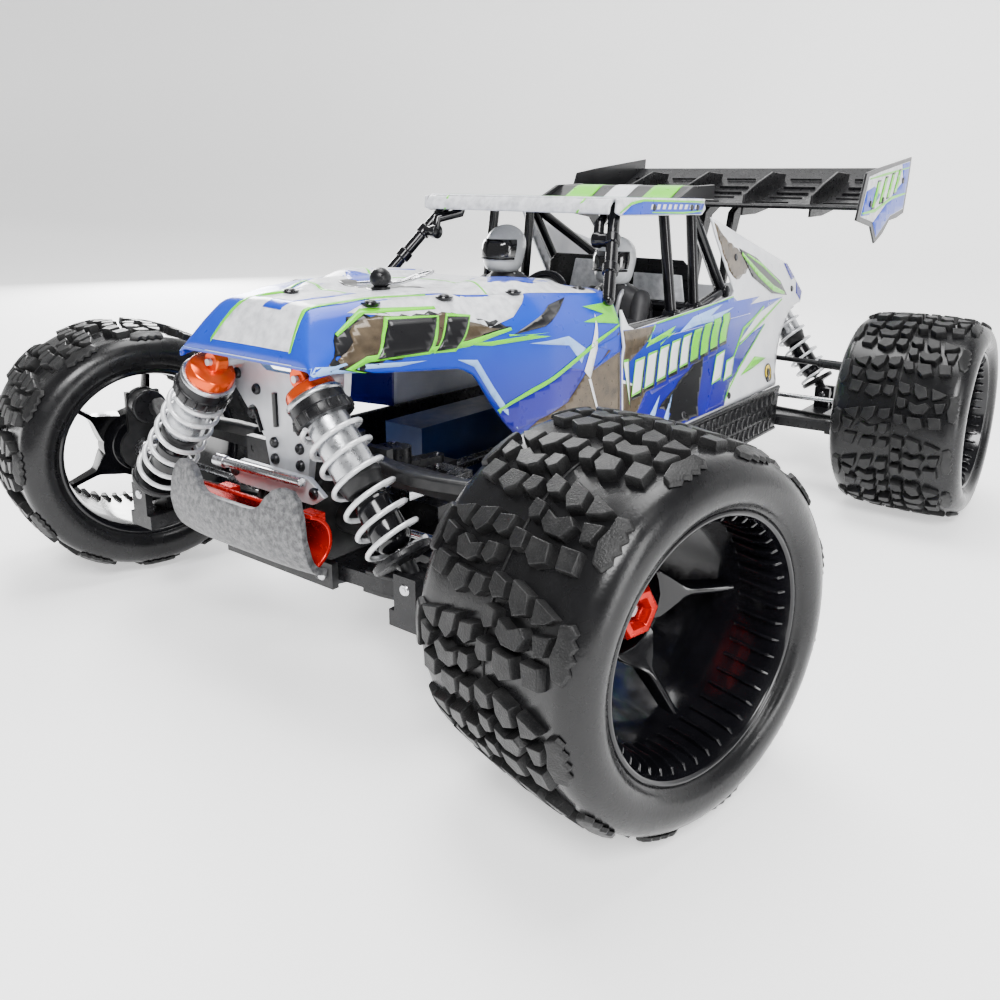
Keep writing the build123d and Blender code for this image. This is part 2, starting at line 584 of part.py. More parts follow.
def roof_panel():
    """Flat roof with a visor lip, turned-down sides and an air scoop."""
    half = [(60, -88), (70, -84), (72, 18), (58, 30)]
    top = plate_xy(mirrored(half), ROOF_Z, ROOF_Z + SKIN)
    lip = block((-66, 66), (-88, -86.4), (ROOF_Z - 7, ROOF_Z + SKIN))
    for x in (-72, 70.4):
        lip += block((x, x + 1.6), (-84, 18), (ROOF_Z - 9, ROOF_Z + SKIN))
    scoop = plate_yz([(-20, ROOF_Z + 1), (44, ROOF_Z + 7), (44, ROOF_Z + 5), (12, ROOF_Z + 1)], -50, 50)
    return top + lip + scoop


TUBE_R = 3.4


def roll_cage():
    """Tubular cage between the body and the roof, trimmed where it stands on the hood."""
    rail_z = ROOF_Z - 0.6 - TUBE_R
    front_top, mid_top, rear_top = (62, -76, rail_z), (65, -25, rail_z), (64, 14, rail_z)
    cowl, door_front, door_mid = (83, -114, 166), (78, -100, 146), (74, -25, 146)
    door_rear, quarter, tail = (70, 14, 148), (67, 62, 156), (38, 120, 150)
    tubes = [(front_top, rear_top), (front_top, cowl), (mid_top, door_mid), (rear_top, quarter),
             (rear_top, tail), (quarter, tail), (door_rear, rear_top), (door_mid, door_rear),
             (door_mid, door_front), (quarter, door_rear)]
    cage = rod((-62, -76, rail_z), (62, -76, rail_z), TUBE_R)
    cage += rod((-64, 14, rail_z), (64, 14, rail_z), TUBE_R)
    cage += rod((-70, 14, 148), (70, 14, 148), TUBE_R)
    for sign in (1, -1):
        for a, b in tubes:
            a, b = (sign * a[0], *a[1:]), (sign * b[0], *b[1:])
            cage += rod(a, b, TUBE_R)
            cage += ball(*a, TUBE_R)
            cage += ball(*b, TUBE_R)
    return cage - hood_outside()


HELMET_R = 15.0
HELMETS = [(30.0, -20.0, 179.0), (-30.0, -58.0, 185.0)]  # co-driver's side sits further forward
TRAY_Z = 112.0


def driver_figures():
    """Two seated figures and the cockpit tray behind the dash."""
    solids = []
    for x, y, z in HELMETS:
        helmet = Pos(x, y, z) * Sphere(HELMET_R)
        torso = block((x - 20, x + 20), (y - 8, y + 16), (TRAY_Z + 2, z - 13))
        torso = fillet(torso.edges().filter_by(Axis.Z), 8)
        solids.append(helmet - torso)
        solids.append(torso)
    tray = block((-70, 70), (-100, 60), (TRAY_Z, TRAY_Z + 2))
    return group(*solids, tray)


# ---------------------------------------------------------------- wing
WING_HALF = 127.0


def rear_wing():
    """Wing with end plates and vanes on two stays that bolt in front of the rear tower."""
    profile = [(170, 212), (200, 214), (240, 222), (286, 244), (285, 247), (238, 225), (200, 217),
               (170, 215)]
    wing = plate_yz(profile, -WING_HALF, WING_HALF)
    end_plate = [(168, 239), (291, 256), (282, 210), (240, 204), (204, 187), (190, 200), (152, 205)]
    end_plates = []
    for sign in (1, -1):
        end_plates.append(plate_yz(end_plate, *sorted((sign * WING_HALF, sign * (WING_HALF + 2)))))
    for x in (-86, -30, 30, 86):
        wing += plate_yz([(172, 206), (172, 222), (225, 240), (262, 240), (255, 226), (225, 212)], x - 1, x + 1)
    stays = []
    for sign in (1, -1):
        foot = REAR_Y + LINK_BACK + 12.7
        stay = plate_yz([(foot, 118), (foot + 4, 118), (foot + 4, 150), (204, 205), (226, 215), (226, 218.8),
                         (200, 213.8), (190, 208), (foot, 152)], *sorted((sign * 10, sign * 16)))
        stays.append(stay - wing)
    return group(wing, *end_plates, *stays)


# ---------------------------------------------------------------- writing the nodes
def nodes():
    made = {
        "chassis_plate": chassis_plate(),
        "side_guards": side_guards(),
        "front_bumper": front_bumper(),
        "bumper_braces": bumper_braces(),
        "gearbox_cases": gearbox_cases(),
        "shock_towers": shock_towers(),
        "hood_panel": hood_panel(),
        "side_panels": side_panels(),
        "roof_panel": roof_panel(),
        "roll_cage": roll_cage(),
        "driver_figures": driver_figures(),
        "rear_wing": rear_wing(),
        "battery_and_esc": battery_and_esc(),
        "drive_motor": drive_motor(),
        "steering_servo": steering_servo(),
        "spur_gear": spur_gear(),
        "motor_pinion": motor_pinion(),
        "drag_link": drag_link(),
        "bellcrank_left": bellcrank(1),
        "bellcrank_right": bellcrank(-1),
    }
    for axle, shock in (("f", FRONT_SHOCK), ("r", REAR_SHOCK)):
        front = axle == "f"
        for side in SIDES:
            corner = axle + side
            made[f"tyre_{corner}"] = placed(tyre(axle), axle, side, front)
            made[f"wheel_{corner}"] = placed(wheel(axle), axle, side, front)
            made[f"lower_arm_{corner}"] = placed(lower_arm(axle), axle, side)
            made[f"driveshaft_{corner}"] = placed(driveshaft(), axle, side)
            made[f"shock_body_{corner}"] = placed(shock_body(shock), axle, side)
            made[f"shock_shaft_{corner}"] = placed(shock_shaft(shock), axle, side)
            made[f"spring_{corner}"] = placed(spring(shock), axle, side)
            if front:
                made[f"knuckle_{corner}"] = placed(knuckle(), axle, side, True)
                made[f"ball_races_{corner}"] = placed(ball_races(), axle, side)
                made[f"upper_arm_{corner}"] = placed(upper_arm(), axle, side)
            else:
                made[f"upright_{corner}"] = placed(rear_upright(), axle, side)
                made[f"upper_link_{corner}"] = placed(upper_link(), axle, side)
    for side in SIDES:
        made[f"tie_rod_f{side}"] = Pos(STEER_SHIFT) * placed(tie_rod(), "f", side)
    return made


os.makedirs("parts", exist_ok=True)
for name, shape in nodes().items():
    export_step(Pos(0, -ORIGIN_Y, 0) * shape, f"parts/{name}.step")
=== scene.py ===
"""The looks of the RC buggy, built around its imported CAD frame.

Places are written in design millimetres, with the front axle at y = -240, and the matrix DESIGN turns them
into the frame's metres. A part of a corner is drawn once, as the left one, about y = 0, and corner() or
at_corner() places it. The calls at the end build the car in turn.
"""

import json
import math
import random

import bmesh
import bpy
from mathutils import Matrix, Vector
from mathutils.bvhtree import BVHTree


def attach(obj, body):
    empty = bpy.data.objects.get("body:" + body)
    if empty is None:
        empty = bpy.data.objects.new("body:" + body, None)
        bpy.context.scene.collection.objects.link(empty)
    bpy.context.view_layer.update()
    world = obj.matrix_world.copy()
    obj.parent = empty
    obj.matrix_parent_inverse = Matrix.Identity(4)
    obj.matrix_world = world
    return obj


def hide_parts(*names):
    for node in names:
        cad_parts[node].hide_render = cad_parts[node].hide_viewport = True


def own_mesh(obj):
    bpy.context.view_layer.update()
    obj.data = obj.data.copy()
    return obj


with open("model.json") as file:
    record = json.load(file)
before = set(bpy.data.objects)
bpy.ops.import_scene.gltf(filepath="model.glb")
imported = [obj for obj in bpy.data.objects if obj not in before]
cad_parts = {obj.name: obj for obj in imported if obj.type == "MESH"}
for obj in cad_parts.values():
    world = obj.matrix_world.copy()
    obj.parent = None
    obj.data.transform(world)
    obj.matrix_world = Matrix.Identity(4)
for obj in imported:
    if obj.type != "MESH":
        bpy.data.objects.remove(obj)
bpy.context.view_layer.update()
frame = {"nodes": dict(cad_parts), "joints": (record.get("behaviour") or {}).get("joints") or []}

NODES = frame["nodes"]
JOINTS = {joint["name"]: joint for joint in frame["joints"]}

# ---------------------------------------------------------------- sizes that follow the frame
SHIFT_Y = JOINTS["suspension_fl"]["pos_m"][1] * 1000 + 240
AXLE_Y = {"f": -240.0, "r": 146.0}
AXLE_Z = 71.25
WHEEL_X = {"f": 179.5, "r": 186.0}
KINGPIN_X = 146.0
STEER_REST = math.radians(-14)
CORNERS = ("fl", "fr", "rl", "rr")
SIGN = {"l": 1, "r": -1}
TYRE_R = 71.25
RIM_R = 48.8

DESIGN = Matrix.Scale(0.001, 4) @ Matrix.Translation((0, SHIFT_Y, 0))


def corner(name, steered=False):
    """Matrix from a left-hand part drawn about y = 0 to its corner of the car, in design millimetres."""
    sign, y = SIGN[name[1]], AXLE_Y[name[0]]
    flip = Matrix.Diagonal((sign, 1, 1, 1))
    place = Matrix.Translation((0, y, 0)) @ flip
    if steered and name[0] == "f":
        pin = Matrix.Translation((sign * KINGPIN_X, y, 0))
        place = pin @ Matrix.Rotation(STEER_REST, 4, "Z") @ pin.inverted() @ place
    return place


def wheel_place(name):
    """Matrix from a wheel drawn about the origin to its place."""
    return corner(name, True) @ Matrix.Translation((WHEEL_X[name[0]], 0, AXLE_Z))


# ---------------------------------------------------------------- camera
def camera():
    """Camera at the front left, at the height of the roof, with a wide view."""
    azimuth, elevation, roll = (math.radians(a) for a in (34.405, 13.501, 1.101))
    back = Vector((math.sin(azimuth) * math.cos(elevation), -math.cos(azimuth) * math.cos(elevation),
                   math.sin(elevation)))
    level = Vector((math.cos(azimuth), math.sin(azimuth), 0))
    upright = back.cross(level)
    right = math.cos(roll) * level + math.sin(roll) * upright
    up = back.cross(right)
    data = bpy.data.cameras.new("camera")
    data.sensor_width = 36
    data.lens = 31.748
    data.shift_x = -0.0637
    data.shift_y = -0.0923
    data.clip_start = 0.02
    data.clip_end = 20
    made = bpy.data.objects.new("camera", data)
    bpy.context.scene.collection.objects.link(made)
    turn = Matrix((right, up, back)).transposed().to_4x4()
    made.matrix_world = Matrix.Translation(DESIGN @ Vector((326.368, -508.911, 218.566))) @ turn
    bpy.context.scene.camera = made


camera()


# ---------------------------------------------------------------- materials
def surface(name, colour, rough=0.45, metal=0.0, coat=0.0, second=None, spots=300, mix=0.5, rough_span=0.12,
            bump=0.0, bump_scale=2500, detail=3.0, speckle=None, fade=None, shine=0.5):
    """Procedural finish. colour blends with second in soft spots, speckle adds fine grains of another
    colour, and fade = (axis, from mm, to mm, colour) blends to a colour along the object."""
    mat = bpy.data.materials.new(name)
    mat.use_nodes = True
    tree = mat.node_tree
    nodes, links = tree.nodes, tree.links
    shader = nodes["Principled BSDF"]
    shader.inputs["Metallic"].default_value = metal
    shader.inputs["Coat Weight"].default_value = coat
    shader.inputs["Coat Roughness"].default_value = 0.06
    shader.inputs["Specular IOR Level"].default_value = shine
    place = nodes.new("ShaderNodeTexCoord").outputs["Object"]

    def noise(scale, rich=detail):
        made = nodes.new("ShaderNodeTexNoise")
        made.inputs["Scale"].default_value = scale
        made.inputs["Detail"].default_value = rich
        links.new(place, made.inputs["Vector"])
        return made.outputs["Fac"]

    def span(value, low, high, to_low, to_high):
        made = nodes.new("ShaderNodeMapRange")
        for socket, number in (("From Min", low), ("From Max", high), ("To Min", to_low),
                               ("To Max", to_high)):
            made.inputs[socket].default_value = number
        links.new(value, made.inputs["Value"])
        return made.outputs["Result"]

    def blend(factor, a, b):
        made = nodes.new("ShaderNodeMix")
        made.data_type = "RGBA"
        links.new(factor, made.inputs[0])
        for socket, value in ((made.inputs[6], a), (made.inputs[7], b)):
            if isinstance(value, bpy.types.NodeSocket):
                links.new(value, socket)
            else:
                socket.default_value = (*value, 1)
        return made.outputs[2]

    base = colour
    if fade:
        axis, low, high, other = fade
        split = nodes.new("ShaderNodeSeparateXYZ")
        links.new(nodes.new("ShaderNodeTexCoord").outputs["Object"], split.inputs[0])
        base = blend(span(split.outputs[axis], low / 1000, high / 1000, 0, 1), colour, other)
    darker = second or tuple(c * 0.72 for c in colour)
    base = blend(span(noise(spots), 0.35, 0.7, 0, mix), base, darker)
    if speckle:
        grain = span(noise(speckle[1], 2.0), 0.58, 0.63, 0, speckle[2])
        base = blend(grain, base, speckle[0])
    links.new(base, shader.inputs["Base Color"])
    links.new(span(noise(spots * 2.3), 0.3, 0.7, rough - rough_span / 2, rough + rough_span / 2),
              shader.inputs["Roughness"])
    if bump:
        node = nodes.new("ShaderNodeBump")
        node.inputs["Strength"].default_value = bump
        node.inputs["Distance"].default_value = 0.0004
        links.new(noise(bump_scale), node.inputs["Height"])
        links.new(node.outputs["Normal"], shader.inputs["Normal"])
    return mat


def paint(name, colour, **more):
    """Body paint under a clear coat."""
    options = dict(rough=0.3, coat=0.25, shine=0.25, mix=0.35, spots=60, rough_span=0.06, speckle=(
        tuple(min(1, c * 1.5 + 0.06) for c in colour), 9000, 0.35))
    options.update(more)
    return surface(name, colour, **options)


RUBBER = surface("tread_rubber", (0.006, 0.006, 0.0065), rough=0.42, second=(0.02, 0.02, 0.02), spots=120,
                 mix=0.8, bump=0.5, bump_scale=1400, speckle=((0.05, 0.05, 0.05), 2600, 0.3), shine=0.25)
WALL = surface("sidewall_rubber", (0.005, 0.005, 0.0055), rough=0.27, second=(0.012, 0.012, 0.013), spots=60,
               bump=0.12, bump_scale=900, shine=0.32)
GLOSS = surface("gloss_black", (0.003, 0.003, 0.004), rough=0.16, coat=0.15, second=(0.008, 0.008, 0.01),
                spots=90, shine=0.35)
PLASTIC = surface("moulded_plastic", (0.005, 0.005, 0.006), rough=0.3, shine=0.26,
                  second=(0.018, 0.018, 0.019), spots=160, bump=0.15)
DARK = surface("glass_filled_nylon", (0.009, 0.009, 0.01), rough=0.38, shine=0.28, second=(0.03, 0.03, 0.03),
               spots=220, bump=0.25, bump_scale=1800)
STEEL = surface("polished_steel", (0.56, 0.56, 0.58), rough=0.24, metal=1.0, second=(0.4, 0.4, 0.42),
                spots=250, rough_span=0.14, bump=0.05, bump_scale=2500)
ALLOY = surface("turned_alloy", (0.5, 0.51, 0.53), rough=0.3, metal=1.0, second=(0.36, 0.37, 0.39), spots=200,
                rough_span=0.14, bump=0.08, bump_scale=4000)
GREY_PLATE = surface("grey_plate", (0.6, 0.61, 0.64), rough=0.4, metal=0.45, second=(0.45, 0.46, 0.48),
                     spots=140, rough_span=0.14, bump=0.15, bump_scale=2600)
SCREW = surface("black_screw", (0.03, 0.03, 0.032), rough=0.3, metal=0.8, second=(0.07, 0.07, 0.075),
                spots=400, rough_span=0.1, bump=0.05)
RED = surface("red_anodised", (0.7, 0.012, 0.006), rough=0.24, metal=0.6,
              second=(0.42, 0.006, 0.004), spots=180)
ORANGE = surface("orange_cap", (0.85, 0.1, 0.004), rough=0.2, metal=0.7, second=(0.8, 0.03, 0.004), spots=110)
COIL = surface("spring_wire", (0.74, 0.75, 0.77), rough=0.24, metal=0.25, second=(0.56, 0.57, 0.6), spots=200,
               rough_span=0.1, coat=0.5, bump=0.04)
BUMPER = surface("speckled_grey", (0.045, 0.046, 0.05), rough=0.42, second=(0.2, 0.2, 0.205), spots=420,
                 mix=0.8, bump=0.5, bump_scale=900, speckle=((0.02, 0.02, 0.022), 1800, 0.6))
CHASSIS = surface("anodised_plate", (0.055, 0.056, 0.06), rough=0.36, metal=0.85, second=(0.09, 0.09, 0.1),
                  spots=90, rough_span=0.12, bump=0.06)
WRAP = surface("battery_wrap", (0.02, 0.05, 0.16), rough=0.35, second=(0.01, 0.02, 0.08), spots=60,
               coat=0.3, bump=0.05)
WHITE = paint("pearl_white", (0.8, 0.81, 0.84), second=(0.6, 0.62, 0.68), mix=0.5, spots=60)
# Deep blue low down, turning to a lighter azure higher up: blended along z from 108 to 152 mm.
BLUE = paint("azure_paint", (0.009, 0.004, 0.24), fade=(2, 108, 152, (0.004, 0.052, 0.5)), metal=0.1,
             second=(0.006, 0.02, 0.42), speckle=((0.01, 0.09, 0.6), 9000, 0.3))
ROYAL = paint("royal_paint", (0.009, 0.004, 0.24), second=(0.006, 0.01, 0.36), metal=0.1,
              speckle=((0.02, 0.06, 0.6), 9000, 0.3))
LIME = paint("lime_paint", (0.13, 0.66, 0.002), second=(0.08, 0.5, 0.002))
BROWN = paint("bronze_paint", (0.115, 0.085, 0.052), second=(0.03, 0.022, 0.016), metal=0.4,
              mix=0.75, spots=140)
MOTTLED = paint("mottled_white", (0.72, 0.73, 0.76), second=(0.36, 0.37, 0.4), mix=0.75, spots=220)
BLACK = paint("black_paint", (0.006, 0.006, 0.007), speckle=((0.03, 0.03, 0.035), 9000, 0.3))
# Pale blue, used for painted highlights on the blue paint and for the pale band on the hood lip.
PALE_BLUE_AND_HIGHLIGHT = paint("pale_blue_and_highlight", (0.3, 0.5, 0.86), second=(0.12, 0.3, 0.8), mix=0.5)
YELLOW = paint("yellow_paint", (0.85, 0.6, 0.01))
SUIT = surface("driver_suit", (0.018, 0.018, 0.02), rough=0.55, second=(0.035, 0.035, 0.04), spots=200,
               bump=0.3, bump_scale=1500)
SHELL = surface("helmet_shell", (0.66, 0.68, 0.7), rough=0.25, second=(0.5, 0.52, 0.55), spots=120, coat=0.7,
                rough_span=0.08, bump=0.03)
VISOR = surface("dark_visor", (0.004, 0.004, 0.005), rough=0.1, second=(0.01, 0.01, 0.012), coat=0.8,
                spots=80, rough_span=0.05)


# ---------------------------------------------------------------- shapes: (points, faces) in millimetres
def merge(*shapes):
    """Several shapes as one."""
    points, faces = [], []
    for more_points, more_faces in shapes:
        start = len(points)
        points += more_points
        faces += [tuple(i + start for i in face) for face in more_faces]
    return points, faces


def moved(shape, matrix):
    """A shape turned and shifted by a matrix."""
    return [tuple(matrix @ Vector(p)) for p in shape[0]], shape[1]


def rings(sections, closed=False, caps=True):
    """Skin over sections with equal numbers of points."""
    count = len(sections[0])
    points = [tuple(p) for section in sections for p in section]
    faces = []
    steps = len(sections) if closed else len(sections) - 1
    for i in range(steps):
        a, b = i * count, (i + 1) % len(sections) * count
        faces += [(a + j, a + (j + 1) % count, b + (j + 1) % count, b + j) for j in range(count)]
    if caps and not closed:
        last = (len(sections) - 1) * count
        faces += [tuple(range(count))[::-1], tuple(range(last, last + count))]
    return points, faces


def lathe(profile, steps=64):
    """Turns a closed profile of (along x, radius) about the x axis."""
    sections = []
    for i in range(steps):
        turn = 2 * math.pi * i / steps
        sections.append([(x, r * math.cos(turn), r * math.sin(turn)) for x, r in profile])
    return rings(sections, closed=True)


def frame_at(direction):
    """Two directions square to the given one."""
    direction = direction.normalized()
    helper = Vector((0, 0, 1)) if abs(direction.z) < 0.9 else Vector((0, 1, 0))
    side = direction.cross(helper).normalized()
    return side, direction.cross(side)


def circle(centre, direction, radius, steps):
    """Points round a centre, square to a direction."""
    side, up = frame_at(direction)
    turns = [2 * math.pi * i / steps for i in range(steps)]
    return [centre + radius * (math.cos(t) * side + math.sin(t) * up) for t in turns]


def spindle(a, b, profile, steps=20):
    """Solid of revolution from a to b. profile lists (millimetres from a, radius)."""
    a, b = Vector(a), Vector(b)
    direction = (b - a).normalized()
    return rings([circle(a + direction * t, direction, r, steps) for t, r in profile])


def bar(a, b, radius, steps=14):
    """Round rod from a to b."""
    return spindle(a, b, [(0, radius), ((Vector(b) - Vector(a)).length, radius)], steps)


def tube(path, radius, steps=10, closed=False):
    """Round tube along a path."""
    path = [Vector(p) for p in path]
    sections = []
    side = None
    for i, point in enumerate(path):
        ahead = path[(i + 1) % len(path)] if closed or i + 1 < len(path) else point
        behind = path[i - 1] if closed or i else point
        direction = (ahead - behind).normalized()
        if side is None:
            side = frame_at(direction)[0]
        side = (side - direction * side.dot(direction)).normalized()
        up = direction.cross(side)
        turns = [2 * math.pi * j / steps for j in range(steps)]
        sections.append([point + radius * (math.cos(t) * side + math.sin(t) * up) for t in turns])
    return rings(sections, closed=closed)


def ball(centre, radius, steps=20):
    """Sphere."""
    half = [(-math.cos(math.pi * i / 12) * radius, max(math.sin(math.pi * i / 12) * radius, 0.02))
            for i in range(13)]
    x, y, z = centre
    sections = [circle(Vector((x + t, y, z)), Vector((1, 0, 0)), r, steps) for t, r in half]
    return rings(sections)


PLANES = {"xy": lambda a, b, c: (a, b, c), "xz": lambda a, b, c: (a, c, b), "yz": lambda a, b, c: (c, a, b)}


def prism(outline, plane, low, high):
    """Outline pushed through from low to high, square to a plane."""
    place = PLANES[plane]
    return rings([[place(a, b, low) for a, b in outline], [place(a, b, high) for a, b in outline]])


def block(x, y, z):
    """Box from three (low, high) pairs."""
    return prism([(x[0], y[0]), (x[1], y[0]), (x[1], y[1]), (x[0], y[1])], "xy", z[0], z[1])


def mirror_x(shape):
    """The same shape on the other side of the car."""
    return [(-x, y, z) for x, y, z in shape[0]], shape[1]


def both(shape):
    """A shape and its mirror image."""
    return merge(shape, mirror_x(shape))


def screw_head(at, direction, radius=2.6, height=1.6):
    """Button head with a hexagonal socket."""
    at, direction = Vector(at), Vector(direction).normalized()
    head = spindle(at, at + direction, [(-1, radius), (height * 0.5, radius), (height, radius * 0.72)], 18)
    socket = circle(at + direction * (height + 0.02), direction, radius * 0.42, 6)
    return head, rings([socket, [p + direction * 0.12 for p in socket]])


# ---------------------------------------------------------------- pieces
def piece(name, shape, body, mat, place=DESIGN, bevel=0.0, smooth=35, replaces=(), thick=0.0, weld=True,
          segments=2, subdivide=0):
    """Object from a shape, with its finish, riding on a body of the frame. Lengths are in millimetres."""
    points, faces = shape
    mesh = bpy.data.meshes.new(name)
    mesh.from_pydata([place @ Vector(p) for p in points], [], faces)
    form = bmesh.new()
    form.from_mesh(mesh)
    if weld:
        bmesh.ops.remove_doubles(form, verts=form.verts, dist=2e-6)
        bmesh.ops.recalc_face_normals(form, faces=form.faces)
    form.to_mesh(mesh)
    form.free()
    mesh.shade_smooth()
    mesh.set_sharp_from_angle(angle=math.radians(smooth))
    made = bpy.data.objects.new(name, mesh)
    bpy.context.scene.collection.objects.link(made)
    mesh.materials.append(mat)
    if thick:
        shell = made.modifiers.new("thickness", "SOLIDIFY")
        shell.thickness = thick / 1000
        shell.offset = -1
    if subdivide:
        soft = made.modifiers.new("soft", "SUBSURF")
        soft.levels = soft.render_levels = subdivide
    if bevel:
        edge = made.modifiers.new("edges", "BEVEL")
        edge.width = bevel / 1000
        edge.segments = segments
        edge.limit_method = "ANGLE"
        edge.angle_limit = math.radians(smooth)
    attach(made, body)
    if replaces:
        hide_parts(*replaces)
    return made


def at_corner(name, steered=False):
    """The same as corner(), on to the frame's metres."""
    return DESIGN @ corner(name, steered)


def finish_node(node, mat):
    """Gives a carried-over CAD node its finish."""
    slots = NODES[node].data.materials
    for i in range(len(slots)):
        slots[i] = mat
    if not slots:
        slots.append(mat)


# ---------------------------------------------------------------- tyres
PITCHES = 12
TREAD_DEPTH = 5.2


def crown(u):
    """Radius over the lugs at a distance u from the middle."""
    u = abs(u)
    if u <= 30:
        return TYRE_R - 1.1 * (u / 30) ** 2
    return TYRE_R - 1.1 - 2.9 * ((u - 30) / 8.5) ** 1.7


def carcass(u):
    """Radius of the tread's floor."""
    return 66.2 + 0.4 * (abs(u) / 30) ** 2


BLOCKS = [  # one pitch of one half: (across, along) outlines in millimetres, with the block's height share
    ([(1.3, 2.5), (8.2, 4), (8.8, 9), (4.5, 10.5), (1.3, 8)], 1.0),
    ([(10.6, 2.2), (18.6, 4.4), (20, 10.4), (15, 12.8), (11.6, 9)], 1.0),
    ([(21.8, 4.4), (31.5, 7.4), (28.5, 10.2), (23, 12.2)], 0.97),
    ([(1.8, 13), (7, 13.6), (7.8, 18.6), (4, 20.4), (1.8, 18)], 1.0),
    ([(9.4, 15.2), (14.5, 17), (19.4, 14.6), (22.4, 17), (19.5, 22.2), (13, 22.6), (9.4, 20)], 1.0),
    ([(24.6, 14.6), (31.6, 13), (30.5, 19.6), (27, 21)], 0.95),
    ([(1.3, 24.4), (6.8, 24.6), (8, 30), (3.6, 31.4), (1.3, 29)], 1.0),
    ([(9.6, 25), (17.8, 25), (20, 31), (14, 33.8), (10, 30.6)], 1.0),
    ([(22, 24), (29.8, 23.4), (30.8, 30.6), (24, 31.4)], 0.96),
]
SHOULDER = [(33.4, 8.4), (36.8, 7.2), (38.8, 9.2), (38.0, 11.4), (39.4, 13.2), (38.4, 15.6), (39.6, 17.4),
            (38.4, 19.6), (39.2, 21.6), (37.6, 25.4), (34.6, 24.6), (32.8, 18.6), (33.8, 13)]


def lug(outline, share, side, turn):
    """Tread block with sloping flanks on the tyre's curved crown."""
    middle = (sum(u for u, v in outline) / len(outline), sum(v for u, v in outline) / len(outline))
    sections = []
    for depth, grow in ((-1.5, 1.1), (TREAD_DEPTH * share - 1.0, 1.02), (TREAD_DEPTH * share, 0.93)):
        ring = []
        for u, v in outline:
            u = middle[0] + (u - middle[0]) * grow
            v = middle[1] + (v - middle[1]) * grow
            floor = min(carcass(u), crown(u) - 1.2)
            radius = floor + depth * (crown(u) - floor) / TREAD_DEPTH
            angle = turn + v / TYRE_R
            ring.append((side * u, radius * math.cos(angle), radius * math.sin(angle)))
        sections.append(ring)
    return rings(sections)


def tyre_walls():
    """Carcass: bulging sidewalls, the tread's floor and the bead, closed inside."""
    floor = [(-34 + n * 68 / 12, carcass(-34 + n * 68 / 12)) for n in range(13)]
    wall = [(36.2, 66.3), (38.6, 65.2), (40.8, 63.2), (42.4, 60.4), (43.2, 57.4), (43.1, 54.6), (42.2, 52.2),
            (40.6, 50.3), (39.6, 49.9), (39.2, 49.1), (38.4, 48.4), (36.5, 48.6), (34, 49.4), (36, 55),
            (37.5, 60), (33, 61.5)]
    inner = [(n * -8.0 + 24, 62) for n in range(7)]
    return floor + wall + inner + [(-x, r) for x, r in reversed(wall)]


def tyre_tread():
    """All lugs, with the two halves half a pitch apart."""
    shapes = []
    for n in range(PITCHES):
        for side in (1, -1):
            turn = 2 * math.pi * n / PITCHES + (0 if side > 0 else math.pi / PITCHES)
            shapes += [lug(outline, share, side, turn) for outline, share in BLOCKS]
            shapes.append(lug(SHOULDER, 1.0, side, turn))
    return merge(*shapes)


def tyres():
    """Tread and carcass of each tyre."""
    seam = lathe([(-0.5, 66.0), (-0.5, 66.7), (0.5, 66.7), (0.5, 66.0)], 144)
    tread, walls = merge(tyre_tread(), seam), lathe(tyre_walls(), 160)
    for name in CORNERS:
        place = DESIGN @ wheel_place(name)
        piece(f"tread_{name}", tread, f"wheel_{name}", RUBBER, place, bevel=0.45, smooth=30)
        piece(f"tyre_wall_{name}", walls, f"wheel_{name}", WALL, place, smooth=50,
              replaces=[f"tyre_{name}"])


# ---------------------------------------------------------------- wheels: places are from the wheel's middle
STAR_FACE = 21.5  # the star's middle, in front of the hub's seat
TIP_FACE = 14.0  # the arms' tips, from the wheel's middle
ARMS = 5
GUSSETS = 44


def spoke(hub):
    """One arm of the star: wide where it joins its neighbours, drawn out to a narrow tip at the barrel."""
    sections = []
    steps = 18
    for n in range(steps + 1):
        t = n / steps
        r = 18.4 + 26.2 * t
        half = math.radians(36) * max(0, 1 - t / 0.42) ** 1.8 + math.radians(2.1 + 3.2 * (1 - t) ** 2)
        half = min(half, math.radians(36.2))
        face = hub + STAR_FACE + (TIP_FACE - hub - STAR_FACE) * t ** 0.9
        back = face - 13 + 5 * t
        edge = 1.3 + 1.2 * (1 - t)
        ring = []
        for across, x in ((-0.8, back), (-1, face - edge), (-0.86, face - 0.35), (-0.55, face),
                          (0, face + 0.3), (0.55, face), (0.86, face - 0.35), (1, face - edge), (0.8, back)):
            angle = across * half
            ring.append((x, r * math.cos(angle), r * math.sin(angle)))
        sections.append(ring)
    return rings(sections)


